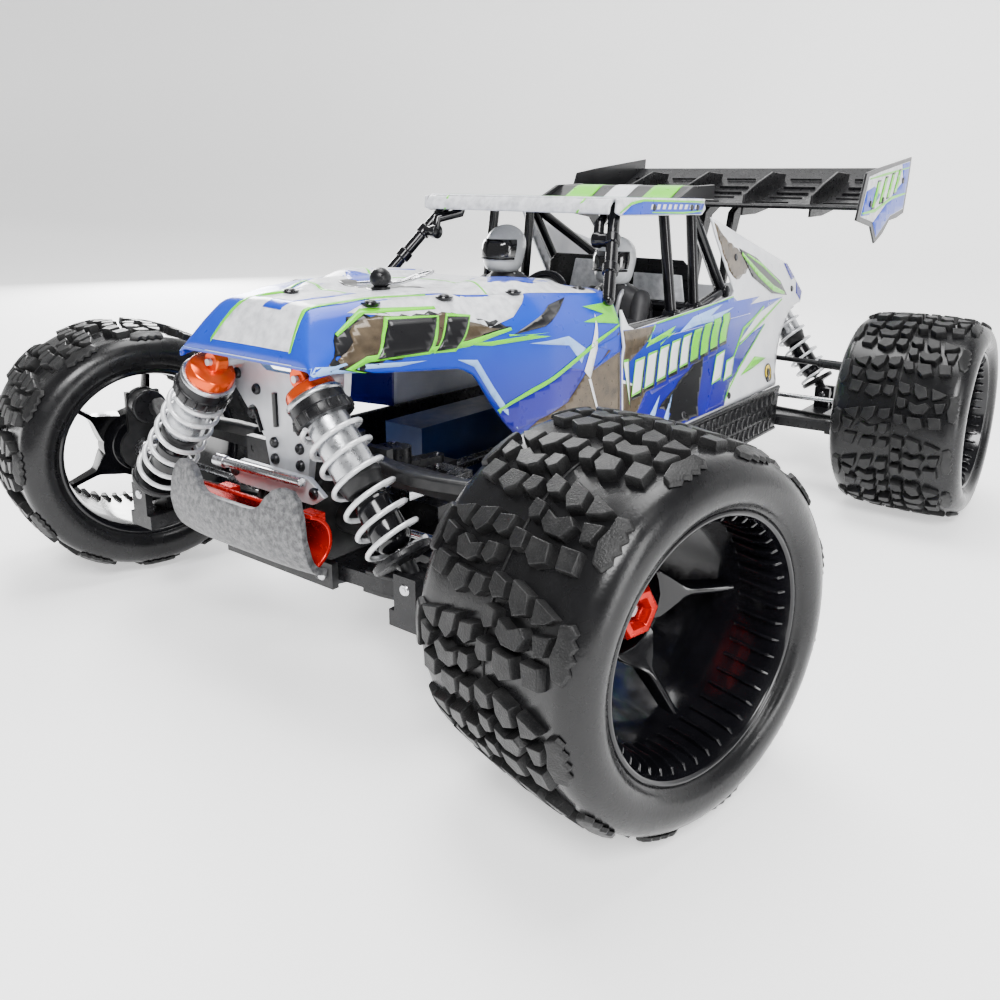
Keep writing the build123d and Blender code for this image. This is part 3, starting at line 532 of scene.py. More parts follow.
def rim(hub):
    """Barrel, bowl, star and the gussets in the barrel."""
    barrel = [(-38, RIM_R), (-31, RIM_R), (-27.5, 45.8), (27.5, 45.8), (31, RIM_R), (37.6, RIM_R),
              (38.8, 48.3), (39.2, 47.2), (38.6, 46.2), (36.6, 45.6), (33, 44.7), (24, 44), (-24, 44),
              (-33, 44.7), (-37, 45.8), (-38.6, 47)]
    shapes = [lathe(barrel, 120)]
    bowl = [(hub + 5.5, 4.2), (hub + 5.5, 16), (hub + 9, 20), (hub + 20.6, 20.4), (hub + 21.4, 19.4),
            (hub + 20.6, 18.2), (hub + 13, 17), (hub + 13, 14), (hub + 17, 13.4), (hub + 17, 4.2)]
    shapes.append(lathe(bowl, 60))
    for n in range(ARMS):
        shapes.append(moved(spoke(hub), Matrix.Rotation(2 * math.pi * n / ARMS, 4, "X")))
    for n in range(GUSSETS):
        gusset = prism([(16, 44.3), (33.5, 45.2), (36.4, 45.8), (35, 43.4), (30, 42), (18, 42.2)],
                       "xy", -0.6, 0.6)
        shapes.append(moved(gusset, Matrix.Rotation(2 * math.pi * n / GUSSETS, 4, "X")))
    for n in range(ARMS):
        boss = prism([(hub + 12, 18.6), (hub + 20.6, 18.8), (hub + 19.4, 15), (hub + 12, 14.4)],
                     "xy", -1.1, 1.1)
        shapes.append(moved(boss, Matrix.Rotation(2 * math.pi * (n + 0.5) / ARMS, 4, "X")))
    return merge(*shapes)


def wheel_nut(hub):
    """Flanged nut with a serrated face, open in the middle."""
    flange = lathe([(hub + 17, 5), (hub + 17, 12.6), (hub + 19.6, 13.4), (hub + 21.4, 11.6), (hub + 21.4, 5)],
                   48)
    hexagon = [(hub + 21, 4.8), (hub + 21, 10.4), (hub + 27.4, 10.4), (hub + 28.6, 9.2), (hub + 28.6, 6.4),
               (hub + 25.5, 4.8)]
    shapes = [flange, lathe(hexagon, 6)]
    for n in range(16):
        tooth = prism([(hub + 20, 11.4), (hub + 20, 13.4), (hub + 22.2, 12.2), (hub + 22.2, 10.8)],
                      "xy", -0.9, 0.9)
        shapes.append(moved(tooth, Matrix.Rotation(2 * math.pi * n / 16, 4, "X")))
    return merge(*shapes)


def stub_axle(hub):
    """Axle end and the bell for the dog bone."""
    bell = lathe([(hub - 14, 5.9), (hub - 14, 7.2), (hub - 13.4, 7.5), (hub - 6, 7.5), (hub - 5, 6.6),
                  (hub - 5, 0.3), (hub - 6.5, 0.3), (hub - 6.5, 5.9)], 40)
    shaft = [(hub - 6, 3.9), (hub + 21, 3.9), (hub + 24.2, 3.4), (hub + 25, 2.4)]
    turned = spindle((0, 0, 0), (1, 0, 0), shaft, 24)
    return merge(bell, turned)


def wheels():
    """Rim, nut, axle end and drive hexagon of each wheel."""
    for name in CORNERS:
        hub = KINGPIN_X + 11 - WHEEL_X[name[0]]
        place = DESIGN @ wheel_place(name)
        body = f"wheel_{name}"
        piece(f"rim_{name}", rim(hub), body, GLOSS, place, smooth=32, bevel=0.35,
              replaces=[f"wheel_{name}"])
        piece(f"wheel_nut_{name}", wheel_nut(hub), body, RED, place, bevel=0.25)
        piece(f"stub_axle_{name}", stub_axle(hub), body, STEEL, place, bevel=0.2)
        drive = lathe([(hub, 4.2), (hub, 9.6), (hub + 6, 9.6), (hub + 6, 4.2)], 6)
        piece(f"drive_hex_{name}", drive, body, ALLOY, place, bevel=0.4)


# ---------------------------------------------------------------- shocks
SHOCKS = {"f": dict(top=(30.0, 142.0), foot=(94.0, 66.0), plane=-31.0, stroke=14.35, turns=6.6),
          "r": dict(top=(44.0, 150.0), foot=(104.0, 66.0), plane=47.0, stroke=16.88, turns=7.2)}
COLLAR, PERCH = 22.0, 14.0
SPRING_R, WIRE_R = 12.0, 1.15


def shock_line(axle):
    """Centres of the upper and lower eye."""
    shock = SHOCKS[axle]
    (x0, z0), (x1, z1), y = shock["top"], shock["foot"], shock["plane"]
    return Vector((x0, y, z0)), Vector((x1, y, z1))


def spring_coil(axle):
    """Coil with closer turns at both ends."""
    top, foot = shock_line(axle)
    down = (foot - top).normalized()
    side, up = frame_at(down)
    length = (foot - top).length - COLLAR - PERCH - 2 * WIRE_R
    turns, steps = SHOCKS[axle]["turns"], 36
    path = []
    for n in range(int(turns * steps) + 1):
        t = n / (turns * steps)
        ease = t - 0.022 * math.sin(2 * math.pi * t)
        angle = 2 * math.pi * turns * t
        at = top + down * (COLLAR + WIRE_R + length * ease)
        path.append(at + SPRING_R * (math.cos(angle) * side + math.sin(angle) * up))
    return tube(path, WIRE_R, 12)


def shocks():
    """Cap, cylinder, collar, boot, rod and spring of each shock."""
    for name in CORNERS:
        axle = name[0]
        top, foot = shock_line(axle)
        down = (foot - top).normalized()
        reach = (foot - top).length
        place = at_corner(name)
        body, shaft = f"shock_body_{name}", f"shock_shaft_{name}"

        def turned(profile, steps=36):
            return spindle(top, foot, profile, steps)

        cap = merge(turned([(3.2, 6.2), (4.2, 8.2), (5, 10.2), (6.2, 10.9), (9.6, 11.2), (10.4, 10.6)]),
                    spindle(top - Vector((0, 3.2, 0)), top + Vector((0, 3.2, 0)),
                            [(0, 4.6), (0.6, 5.2), (5.8, 5.2), (6.4, 4.6)], 28))
        piece(f"shock_cap_{name}", cap, body, ORANGE, place, bevel=0.3,
              replaces=[f"shock_body_{name}"])
        band = turned([(9.6, 10.6), (9.8, 12.2), (10.4, 12.6), (11.8, 12.6), (12.4, 12)], 48)
        piece(f"shock_band_{name}", band, body, ALLOY, place, bevel=0.2)
        piece(f"shock_cylinder_{name}", turned([(15, 9.2), (47.4, 9.5), (48, 9.2)]), body, ALLOY,
              place, smooth=50)
        seal = [(47.6, 9.3), (48, 9.9), (50.5, 9.9), (51, 9.4), (55.6, 8.4), (56.4, 6.4), (56.8, 2.2)]
        piece(f"shock_seal_cap_{name}", turned(seal), body, DARK, place, bevel=0.2)
        collar = [turned([(12, 11), (12.3, 12.1), (16.4, 12.2), (16.8, 12.8), (20.8, 13), (21.6, 12.6),
                          (21.9, 9.6)], 48)]
        side, up = frame_at(down)
        for n in range(16):
            turn = 2 * math.pi * n / 16
            out = math.cos(turn) * side + math.sin(turn) * up
            collar.append(bar(top + down * 17 + out * 12.7, top + down * 21.2 + out * 12.7, 0.8, 8))
        piece(f"shock_collar_{name}", merge(*collar), body, PLASTIC, place, bevel=0.2)

        rod = spindle(foot, top, [(8, 1.75), (reach - 50, 1.75)], 20)
        piece(f"shock_rod_{name}", rod, shaft, STEEL, place, replaces=[f"shock_shaft_{name}"])
        low = reach - PERCH - 1.5
        boot = [(56.5, 6.2), (57.2, 7.4), (58.6, 7.6), (59.6, 6.6), (60.8, 7.5), (62.2, 7.7)]
        boot += [(low - 9, 8.2), (low - 4.5, 8.0), (low - 2, 6.6), (low - 0.4, 4.2), (low, 2.2)]
        perch = [(2.5, 3.4), (8, 3.6), (PERCH - 4.4, 4.4), (PERCH - 3.4, 12.4), (PERCH - 2.6, 13),
                 (PERCH - 0.6, 13), (PERCH, 12.4), (PERCH, 10)]
        eye = spindle(foot - Vector((0, 3.4, 0)), foot + Vector((0, 3.4, 0)),
                      [(0, 4.4), (0.6, 5.1), (6.2, 5.1), (6.8, 4.4)], 26)
        piece(f"shock_perch_{name}", merge(spindle(foot, top, perch, 36), eye), shaft, PLASTIC,
              place, bevel=0.25)
        sleeve = piece(f"shock_boot_{name}", turned(boot), body, GLOSS, place, smooth=60)
        heads = [screw_head(foot + Vector((0, s * 6.2, 0)), (0, s, 0), 2.9, 1.8) for s in (-1, 1)]
        piece(f"shock_screw_{name}", merge(bar(foot - Vector((0, 6.6, 0)), foot + Vector((0, 6.6, 0)), 1.55),
                                           *[part for head in heads for part in head]),
              shaft, STEEL, place)

        coil = piece(f"coil_{name}", spring_coil(axle), body, COIL, place, smooth=60,
                     replaces=[f"spring_{name}"])
        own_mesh(sleeve)
        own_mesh(coil)


# ---------------------------------------------------------------- body shell
HOOD = [  # y, then foot, shoulder and crown as (x, z)
    (-279.5, (45, 144), (45.2, 146), (43, 147.6)),
    (-276, (46, 144.6), (46.2, 148.8), (38, 156)),
    (-267, (47.5, 146), (47, 152), (29, 171)),
    (-250, (53, 143.8), (52, 153.6), (34.8, 172)),
    (-228, (61, 142.6), (59.6, 155), (42, 173)),
    (-213, (67.2, 142), (64.8, 156), (46.5, 173.5)),
    (-206, (69.5, 138), (67.5, 156.4), (49.6, 173.6)),
    (-199, (72, 125.5), (69.6, 156.6), (52, 173.7)),
    (-192, (75, 114.5), (71.8, 157), (54.5, 173.8)),
    (-186, (77.2, 107.5), (74, 157.2), (57, 173.9)),
    (-165, (84, 98), (82, 158), (66, 174)),
    (-104, (88.6, 81), (85.6, 152), (76, 170)),
]


def mix(a, b, t):
    """Point between two points."""
    return tuple(p + (q - p) * t for p, q in zip(a, b))


def hood_at(y):
    """Foot, shoulder and crown at a station, between the listed ones."""
    for (y0, *a), (y1, *b) in zip(HOOD, HOOD[1:]):
        if y <= y1:
            t = (y - y0) / (y1 - y0)
            return [mix(p, q, t) for p, q in zip(a, b)]
    return list(HOOD[-1][1:])


def hood_grid():
    """Rows of points over the hood from the left foot to the right one, with rounded creases."""
    stations = [-279.5 + n * 175.5 / 70 for n in range(71)]
    rows = []
    for y in stations:
        foot, shoulder, top = hood_at(y)
        rise = 1.6 * min(1, (y + 279.5) / 15)
        middle = (0, top[1] + rise)
        half = []
        for a, b, count in ((foot, shoulder, 10), (shoulder, top, 8), (top, middle, 14)):
            half += [mix(a, b, n / count) for n in range(count)]
        full = half + [middle] + [(-x, z) for x, z in reversed(half)]
        rows.append([Vector((x, y, z)) for x, z in full])
    for _ in range(5):
        smoothed = [list(row) for row in rows]
        for i, row in enumerate(rows):
            for j in range(1, len(row) - 1):
                across = (row[j - 1] + row[j + 1]) / 2
                smoothed[i][j] = row[j] * 0.5 + across * 0.5
                if 0 < i < len(rows) - 1:
                    along = (rows[i - 1][j] + rows[i + 1][j]) / 2
                    smoothed[i][j] = row[j] * 0.4 + across * 0.35 + along * 0.25
        rows = smoothed
    return rows


def hood_relief(x, y):
    """Raised and sunken parts of the hood's top: the centre recess and the two rear domes."""
    def soft(value, edge):
        return max(0.0, min(1.0, value / edge))

    ax = abs(x)
    recess = soft(13 + 0.10 * (y + 268) - ax, 3) * soft(y + 262, 5) * soft(-176 - y, 6)
    dome = soft(1 - ((ax - 46) / 17) ** 2 - ((y + 150) / 40) ** 2, 0.5)
    brow = soft(ax - 20, 6) * soft(62 - ax, 8) * soft(y + 250, 10) * soft(-196 - y, 10)
    return -2.2 * recess + 3.2 * dome + 0.9 * brow


def hood():
    """Hood and front fenders as one thin shell."""
    rows = hood_grid()
    for row in rows:
        for point in row:
            if abs(point.x) < 70 and point.z > 160:
                point.z += hood_relief(point.x, point.y)
    points = [tuple(p) for row in rows for p in row]
    width = len(rows[0])
    faces = []
    for i in range(len(rows) - 1):
        for j in range(width - 1):
            a = i * width + j
            faces.append((a, a + 1, a + width + 1, a + width))
    return piece("hood_shell", (points, faces), "chassis", BLUE, thick=1.2, smooth=60,
                 replaces=["hood_panel"])


def gridded(outline, step=3.0):
    """Flat outline filled with a triangle grid. Returns 2D points and faces."""
    form = bmesh.new()
    form.faces.new([form.verts.new((a, b, 0)) for a, b in outline])
    for axis in (0, 1):
        values = [p[axis] for p in outline]
        normal = Vector((1, 0, 0)) if axis == 0 else Vector((0, 1, 0))
        for n in range(math.floor(min(values) / step) + 1, math.ceil(max(values) / step)):
            bmesh.ops.bisect_plane(form, geom=form.verts[:] + form.edges[:] + form.faces[:], dist=1e-4,
                                   plane_co=normal * n * step, plane_no=normal)
    bmesh.ops.triangulate(form, faces=form.faces)
    form.verts.index_update()
    made = [(v.co.x, v.co.y) for v in form.verts], [tuple(v.index for v in face.verts) for face in form.faces]
    form.free()
    return made


def panel_x(y, z):
    """Outer face of a side panel, which leans in and draws in towards the tail, with a soft waist line."""
    front, rear = 89 - 0.045 * (z - 81), 84 - 0.146 * (z - 81)
    t = (y + 103.5) / 313.5
    waist = 1.6 * math.exp(-(((z - 141) / 5.5) ** 2)) * max(0, min(1, (110 - y) / 30))
    sill = 1.4 * math.exp(-(((z - 83) / 5) ** 2))
    return front + (rear - front) * t + waist + sill


PANEL = [(-104, 81), (127, 81), (131, 92), (137, 106), (146, 118), (158, 128), (171, 135), (186, 137.5),
         (196, 138), (202, 146), (190, 155), (170, 170), (120, 182.5), (20, 207), (26, 197), (52, 164),
         (57, 157.5), (54, 154.6), (30, 152.8), (-60, 149.2), (-90, 148), (-97, 151), (-104, 160)]


def side_panels():
    """Left and right panels, as thin shells."""
    flat, faces = gridded(PANEL, 5)
    made = {}
    for side, sign in SIGN.items():
        points = [(sign * panel_x(y, z), y, z) for y, z in flat]
        made[side] = piece(f"side_shell_{side}", (points, faces), "chassis", WHITE, thick=1.5,
                           smooth=60, weld=False, replaces=["side_panels"] if side == "l" else ())
        if sign < 0:
            made[side].data.flip_normals()
    return made


# ---------------------------------------------------------------- paintwork: outlines (y, z), on top (x, y)
def surface_of(target):
    """Search tree over a piece's mesh, in design millimetres."""
    back = DESIGN.inverted()
    mesh = target.data
    return BVHTree.FromPolygons([back @ v.co for v in mesh.vertices],
                                [tuple(f.vertices) for f in mesh.polygons])


AIM = {"left": ((1, 0, 0), lambda a, b: (400, a, b)), "right": ((-1, 0, 0), lambda a, b: (-400, a, b)),
       "top": ((0, 0, 1), lambda a, b: (a, b, 400)), "front": ((0, -1, 0), lambda a, b: (a, -500, b))}


def film(name, outlines, tree, aim, mat, layer=1, step=3.0):
    """Thin paint film: flat outlines laid on a surface from one side."""
    direction, start = Vector(AIM[aim][0]), AIM[aim][1]
    shapes = []
    for outline in outlines:
        flat, faces = gridded(outline, step)
        points = []
        for a, b in flat:
            origin = Vector(start(a, b))
            hit, normal = tree.ray_cast(origin, -direction)[:2]
            if hit is None:
                hit, normal = tree.find_nearest(origin - direction * 320)[:2]
            if normal.dot(direction) < 0:
                normal = -normal
            points.append(tuple(hit + normal * (0.1 + 0.11 * layer)))
        facing = []
        for face in faces:
            p, q, r = (Vector(points[i]) for i in face)
            outward = (q - p).cross(r - p).dot(direction) >= 0
            facing.append(face if outward else face[::-1])
        shapes.append((points, facing))
    return piece(name, merge(*shapes), "chassis", mat, thick=0.08, smooth=60, weld=False)


def coater(tree, side, usual_step=3.0):
    """Short form of film for one side: the names end in the side's letter."""
    def coat(name, outlines, mat, layer=1, step=usual_step):
        film(f"{name}_{side[0]}", outlines, tree, side, mat, layer, step)

    return coat


def jagged(outline, step=4.0, depth=1.6, seed=1):
    """Outline with a brush-torn edge."""
    pick = random.Random(seed)
    made = []
    for (a0, b0), (a1, b1) in zip(outline, outline[1:] + outline[:1]):
        length = math.hypot(a1 - a0, b1 - b0)
        count = max(1, int(length / step))
        for n in range(count):
            t = n / count
            push = pick.uniform(-depth, depth) if n else 0
            nx, ny = (b1 - b0) / length, (a0 - a1) / length
            made.append((a0 + (a1 - a0) * t + nx * push, b0 + (b1 - b0) * t + ny * push))
    return made


def strip(path, width):
    """Tapering stripe along a path, as an outline."""
    left, right = [], []
    for i, (a, b) in enumerate(path):
        a0, b0 = path[max(0, i - 1)]
        a1, b1 = path[min(len(path) - 1, i + 1)]
        length = math.hypot(a1 - a0, b1 - b0)
        w = width * (0.25 if i in (0, len(path) - 1) else 0.5)
        nx, ny = -(b1 - b0) / length * w, (a1 - a0) / length * w
        left.append((a + nx, b + ny))
        right.append((a - nx, b - ny))
    return left + right[::-1]


def disc(centre, radius, steps=28):
    """Round outline."""
    turns = [2 * math.pi * n / steps for n in range(steps)]
    return [(centre[0] + radius * math.cos(t), centre[1] + radius * math.sin(t)) for t in turns]


def hood_paint(tree, side):
    """Colours on one flank of the hood, with painted highlights in pale blue and white along the arch, the
    crease and above the violet patch.
    """
    coat = coater(tree, side)
    upper = [(-252, 168.2), (-238, 173), (-164, 173.6), (-171, 168), (-180, 162.4), (-195, 158.4),
             (-206, 161), (-240, 166.6)]
    coat("hood_white_band", [upper], MOTTLED, 1)
    dark = [(-272, 147), (-268, 152), (-262, 161), (-250, 167), (-208, 166), (-196, 162.5), (-183, 158.5),
            (-205, 152.5), (-222, 151), (-246, 149), (-262, 143.6)]
    patch = [(-242, 166.5), (-208, 165.5), (-202, 161.5), (-189, 157.8), (-208, 153.5), (-222, 153.4),
             (-246, 151.5), (-264, 147), (-267, 151), (-257, 157), (-256, 161), (-249, 165)]
    coat("hood_brush", [jagged(dark, 3.2, 1.5, 3)], BLACK, 1)
    coat("hood_patch", [jagged(patch, 4, 0.8, 5)], BROWN, 2)
    bars = [[(-250, 149.5), (-238, 164.6), (-216, 164.4), (-227, 150.8)],
            [(-223.5, 150.6), (-211, 164.4), (-201, 163.6), (-214, 151.2)]]
    coat("hood_bar_edges", [grown(outline, 1.5) for outline in bars], LIME, 3)
    coat("hood_bars", bars, BLACK, 4)
    lines = [strip([(-270, 143.2), (-254, 150), (-229, 151), (-208, 152.6), (-184, 157.4)], 2.6),
             strip([(-262, 160), (-246, 168.5), (-214, 168.2)], 2.2),
             strip([(-104.5, 152), (-126, 145.6), (-150, 136.4), (-176, 127), (-196, 119.4)], 2.2),
             [(-105, 168), (-105, 152.6), (-136, 156.4), (-116, 158.6), (-131, 163.4), (-112, 163.8)],
             strip([(-186, 154.6), (-164, 153.4), (-196, 151.6), (-205, 152.2)], 2.0)]
    coat("hood_lime", lines, LIME, 3)
    leaf = [(-184, 154.6), (-174, 159), (-156, 166.2), (-140, 168.6), (-150, 163.4), (-166, 157.2)]
    coat("hood_leaf", [leaf], BLACK, 2)
    violet = [(-197, 118), (-176, 125.6), (-150, 135), (-137, 132), (-152, 118), (-172, 112.6), (-186, 108.6)]
    coat("hood_violet", [violet], ROYAL, 1)
    # Painted highlight: a pale blue patch above the violet one, where light falls on the blue paint.
    pale = [(-176, 150), (-150, 151), (-136, 143), (-140, 136), (-150, 146.4)]
    coat("hood_pale", [pale], PALE_BLUE_AND_HIGHLIGHT, 1)
    # Painted highlight: a pale blue streak along the edge of the wheel arch, where light catches the blue
    # paint.
    arch_highlight = [(-214, 146), (-206, 142), (-198, 128), (-190, 116), (-184, 109), (-186, 115), (-196, 131),
                 (-204, 145)]
    coat("hood_arch", [arch_highlight], PALE_BLUE_AND_HIGHLIGHT, 1)
    door = [(-105.5, 148.6), (-105.5, 84), (-150, 94), (-181, 107), (-172, 112.6), (-152, 118), (-136, 131),
            (-124, 134)]
    coat("hood_bronze", [door], BROWN, 1)
    # Painted highlight: thin white lines along the crease between fender and door, where light catches the
    # body line.
    crease = [(-124, 159.5), (-126.6, 142), (-133, 127), (-138, 131.6), (-132, 143)]
    coat("hood_crease", [crease, [(-134.6, 127), (-127, 108), (-125.6, 108), (-132.4, 127)]], WHITE, 3)
    blade = [(-105.5, 147), (-105.5, 138), (-131, 131), (-114, 139.4), (-126, 143)]
    coat("hood_blade", [blade], BLUE, 2)
    lip = [(-279, 146.4), (-276.4, 149), (-262, 148.4), (-240, 147.4), (-228, 147), (-240, 145.6),
           (-262, 146.2), (-276, 145.2)]
    coat("hood_lip_side", [lip], PALE_BLUE_AND_HIGHLIGHT, 1)


def grown(outline, by):
    """Outline pushed out from its middle."""
    middle = (sum(a for a, b in outline) / len(outline), sum(b for a, b in outline) / len(outline))
    made = []
    for a, b in outline:
        away = math.hypot(a - middle[0], b - middle[1])
        made.append((a + (a - middle[0]) * by / away, b + (b - middle[1]) * by / away))
    return made


def hood_top_paint(tree):
    """Colours on top of the hood and along its lip."""
    nose = [(-24, -276.8), (30, -276.8), (27, -266.5), (36, -240), (44, -214), (66, -168), (74, -112),
            (-74, -112), (-66, -168), (-30, -216), (-14, -240), (-13, -266.5)]
    film("hood_white_top", [nose], tree, "top", MOTTLED, 1)
    lip = [(-45.4, 145.2), (45.4, 145.2), (44, 148.4), (-44, 148.4)]
    film("hood_lip", [lip], tree, "front", PALE_BLUE_AND_HIGHLIGHT, 1)
    film("hood_lip_white", [[(-27, 145.4), (34, 145.4), (33, 148.6), (-26, 148.6)]], tree, "front", WHITE, 2)
    lines = [strip([(30, -277), (27.4, -266), (31, -250), (46, -213)], 2.2),
             strip([(-24, -277), (-13.4, -266), (-15, -244), (-34, -214)], 2.2),
             strip([(-36, -217), (-10, -223), (8, -226)], 2.4),
             strip([(-60, -160), (-20, -178), (20, -170), (58, -184)], 1.8)]
    film("hood_lime_top", lines, tree, "top", LIME, 2)
    film("hood_blue_top", [[(2, -268), (14, -268), (24, -234), (10, -232)],
                           [(-44, -180), (-24, -196), (-8, -188), (-30, -172)],
                           [(30, -150), (52, -176), (60, -150), (46, -128)]], tree, "top", BLUE, 2)
    film("hood_black_top", [jagged([(-20, -206), (26, -214), (34, -200), (4, -188), (-26, -194)], 4, 1.6, 9)],
         tree, "top", BLACK, 2)


def door_paint(tree, side):
    """Colours on one side panel, with a painted highlight streak in pale blue across the upper door."""
    coat = coater(tree, side)
    blue = [(-103.4, 149), (-90, 148), (-60, 148.6), (54, 153.5), (60, 150.5), (104, 150), (84, 146),
            (154, 145.5), (100, 138), (60, 121), (113, 129.5), (86, 117), (60, 103), (44, 96), (30, 83),
            (-84, 83), (-92, 98), (-76, 112), (-103.4, 122)]
    coat("door_blue", [blue], BLUE, 1)
    coat("door_bronze", [[(-103.4, 148.6), (-66, 147.4), (-84, 136), (-103.4, 128)],
                         [(-103.4, 120), (-76, 112), (-90, 99), (-80, 84), (-103.4, 84)]], BROWN, 2)
    coat("door_royal", [[(-84, 121), (-30, 128), (44, 133), (20, 118), (-40, 112), (-70, 108)],
                        [(0, 84), (28, 84), (44, 98), (20, 104)]], ROYAL, 2)
    # The first outline is a painted highlight, a pale blue streak across the upper door; the two small
    # triangles low down are pale blue marks.
    coat("door_sky", [[(-36, 140), (-14, 147), (34, 150.6), (12, 145), (52, 147), (20, 141), (-8, 141.6)],
                      [(-84, 88), (-60, 106), (-70, 88)], [(-58, 88), (-44, 104), (-50, 88)]], PALE_BLUE_AND_HIGHLIGHT, 3)
    dark = [(2, 121), (-30, 112), (-62, 98), (-46, 92), (-66, 84), (-10, 83.6)]
    coat("door_black", [jagged(dark, 5, 1.2, 11)], BLACK, 3)
    lime = [strip([(-66, 147.6), (-78, 138), (-40, 143), (-60, 136)], 3.0),
            strip([(62, 120), (104, 131), (152, 144)], 2.0), strip([(32, 86), (60, 104), (112, 129)], 1.8),
            [(62, 98), (90, 108), (112, 104), (84, 100)],
            strip([(-64, 148.4), (0, 151.4), (54, 154)], 1.8), strip([(50, 112), (70, 130), (112, 142)], 3.0)]
    coat("door_lime", lime, LIME, 3)
    slashes = [[(-103.2, 131.6), (-97, 108.4), (-98.6, 131.4), (-103.2, 131.6)]]
    for n in range(9):
        a = -94 + n * 15.2
        low, high = 112.2 + n * 1.75, 129.6 + n * 1.6
        slashes.append([(a, low), (a + 9.6, low + 1.2), (a + 14.4, high + 0.8), (a + 4.6, high)])
    shadows = [[(q + 1.0, r - 1.2) for q, r in grown(slash, 2.6)] for slash in slashes]
    edges = [grown(slash, 1.5) for slash in slashes]
    coat("door_slash_shadows", shadows, BLACK, 4, 2.5)
    coat("door_slash_edges", edges, LIME, 5, 2.5)
    coat("door_slashes", slashes[:6], WHITE, 6, 2.5)
    blocks = [[(14, 101), (27, 103), (35, 119), (22, 117)], [(33, 100), (45, 102), (51, 113), (39, 111)]]
    coat("door_block_edges", [grown(outline, 1.6) for outline in blocks], LIME, 5)
    coat("door_blocks", blocks, WHITE, 6)
    coat("door_disc", [disc((114.6, 92.6), 6.8)], BLACK, 4)
    coat("door_disc_ring", [disc((114.6, 92.6), 5.6)], YELLOW, 5)
    coat("door_disc_middle", [disc((114.6, 92.6), 3.2)], BLACK, 6)
    tail = [(23, 204), (34, 198), (58, 187), (88, 178), (78, 168), (60, 165), (47, 172), (30, 193)]
    coat("tail_bronze", [jagged(tail, 5, 1.2, 14)], BROWN, 1)
    emblem = [(66, 186), (100, 178), (150, 158), (164, 146), (130, 150), (90, 165)]
    coat("tail_leaf", [emblem], BLACK, 2)
    coat("tail_leaf_lime", [strip([(72, 182), (104, 166), (134, 153.5), (158, 148)], 4.4),
                            strip([(82, 181), (112, 172), (150, 156)], 2.2)], LIME, 3)
    coat("tail_tips", [[(188, 155.4), (201, 146), (196, 139), (186, 146)],
                       [(168, 170.2), (185, 158.5), (176, 157), (160, 171)]], ROYAL, 2)


# ---------------------------------------------------------------- roof
ROOF_Z = 217.0


def roof():
    """Roof skin with its visor and scoop, and their colours."""
    outline = [(60, -88), (67, -86.8), (70, -84), (71.2, -40), (72, 18), (65, 26), (58, 30)]
    full = outline + [(-x, y) for x, y in reversed(outline)]
    top = prism(full, "xy", ROOF_Z - 0.4, ROOF_Z + 1.4)
    visor = prism([(-80, ROOF_Z + 1.2), (-88, ROOF_Z + 0.4), (-91, 213.6), (-91.4, 209.4), (-89.8, 209),
                   (-88.8, 213), (-86.4, 215.4), (-80, ROOF_Z - 0.4)], "yz", -67.5, 67.5)
    sides = both(prism([(-88, 217.4), (-84, 218), (18, 218), (21, 212), (16, 208.4), (-84, 208.4),
                        (-89, 210)], "yz", 69.4, 71.4))
    roof_piece = piece("roof_skin", merge(top, sides, visor), "chassis", MOTTLED, bevel=0.8,
                       segments=3, replaces=["roof_panel"])
    scoop = prism([(14, 217.6), (20, 218.4), (34, 225.6), (38, 226.8), (62, 226.8), (62, 224.6), (42, 223.4),
                   (36, 218)], "yz", -52, 56)
    fin = [(10, 217.8), (30, 226.4), (62, 228), (62, 218)]
    fins = [prism(fin, "yz", x - 1.4, x + 1.4) for x in (-52, 56)]
    piece("roof_scoop", merge(scoop, *fins), "chassis", BLACK, bevel=0.5)
    tree = surface_of(roof_piece)
    film("roof_blue", [[(54, -84), (69, -82), (70.6, 16), (60, 26), (54, 28)],
                       [(-54, -84), (-69, -82), (-70.6, 16), (-60, 26), (-54, 28)]], tree, "top", BLUE, 1, 8)
    film("roof_lime", [strip([(52, -86), (52, -50), (52, 28)], 2.6),
                       strip([(-52, -86), (-52, -50), (-52, 28)], 2.6),
                       [(-20, -30), (20, -30), (16, -36), (-16, -36)]], tree, "top", LIME, 2, 8)
    scoop_tree = BVHTree.FromPolygons([Vector(p) for p in scoop[0]], scoop[1])
    film("scoop_stripes", [[(-38, 16), (-16, 16), (-18, 60), (-38, 60)],
                           [(24, 16), (46, 16), (46, 60), (26, 60)]],
         scoop_tree, "top", LIME, 1, 4)
    film("scoop_white", [[(-6, 16), (12, 16), (12, 60), (-6, 60)]], scoop_tree, "top", WHITE, 1, 4)
    film("visor_lines", [[(-52, 209.4), (-50.4, 209.4), (-50.4, 217.6), (-52, 217.6)],
                         [(46, 209.4), (47.6, 209.4), (50.6, 217.6), (49, 217.6)]], tree, "front", LIME, 1, 8)
    for side in ("left", "right"):
        film(f"roof_side_blue_{side}", [[(-84, 209), (14, 209), (18, 215.6), (-60, 216.6), (-74, 214)]], tree,
             side, BLUE, 1, 6)
        lines = [strip([(-86, 210), (-74, 215.2), (-60, 217), (16, 216.4)], 1.4),
                 strip([(-50, 210.2), (-10, 209.8), (16, 211)], 1.2)]
        film(f"roof_side_lime_{side}", lines, tree, side, LIME, 2, 6)
        dashes = [[(-52 + n * 7, 212), (-48.4 + n * 7, 212), (-47 + n * 7, 214.8), (-50.6 + n * 7, 214.8)]
                  for n in range(9)]
        film(f"roof_side_dashes_{side}", dashes, tree, side, WHITE, 2, 6)


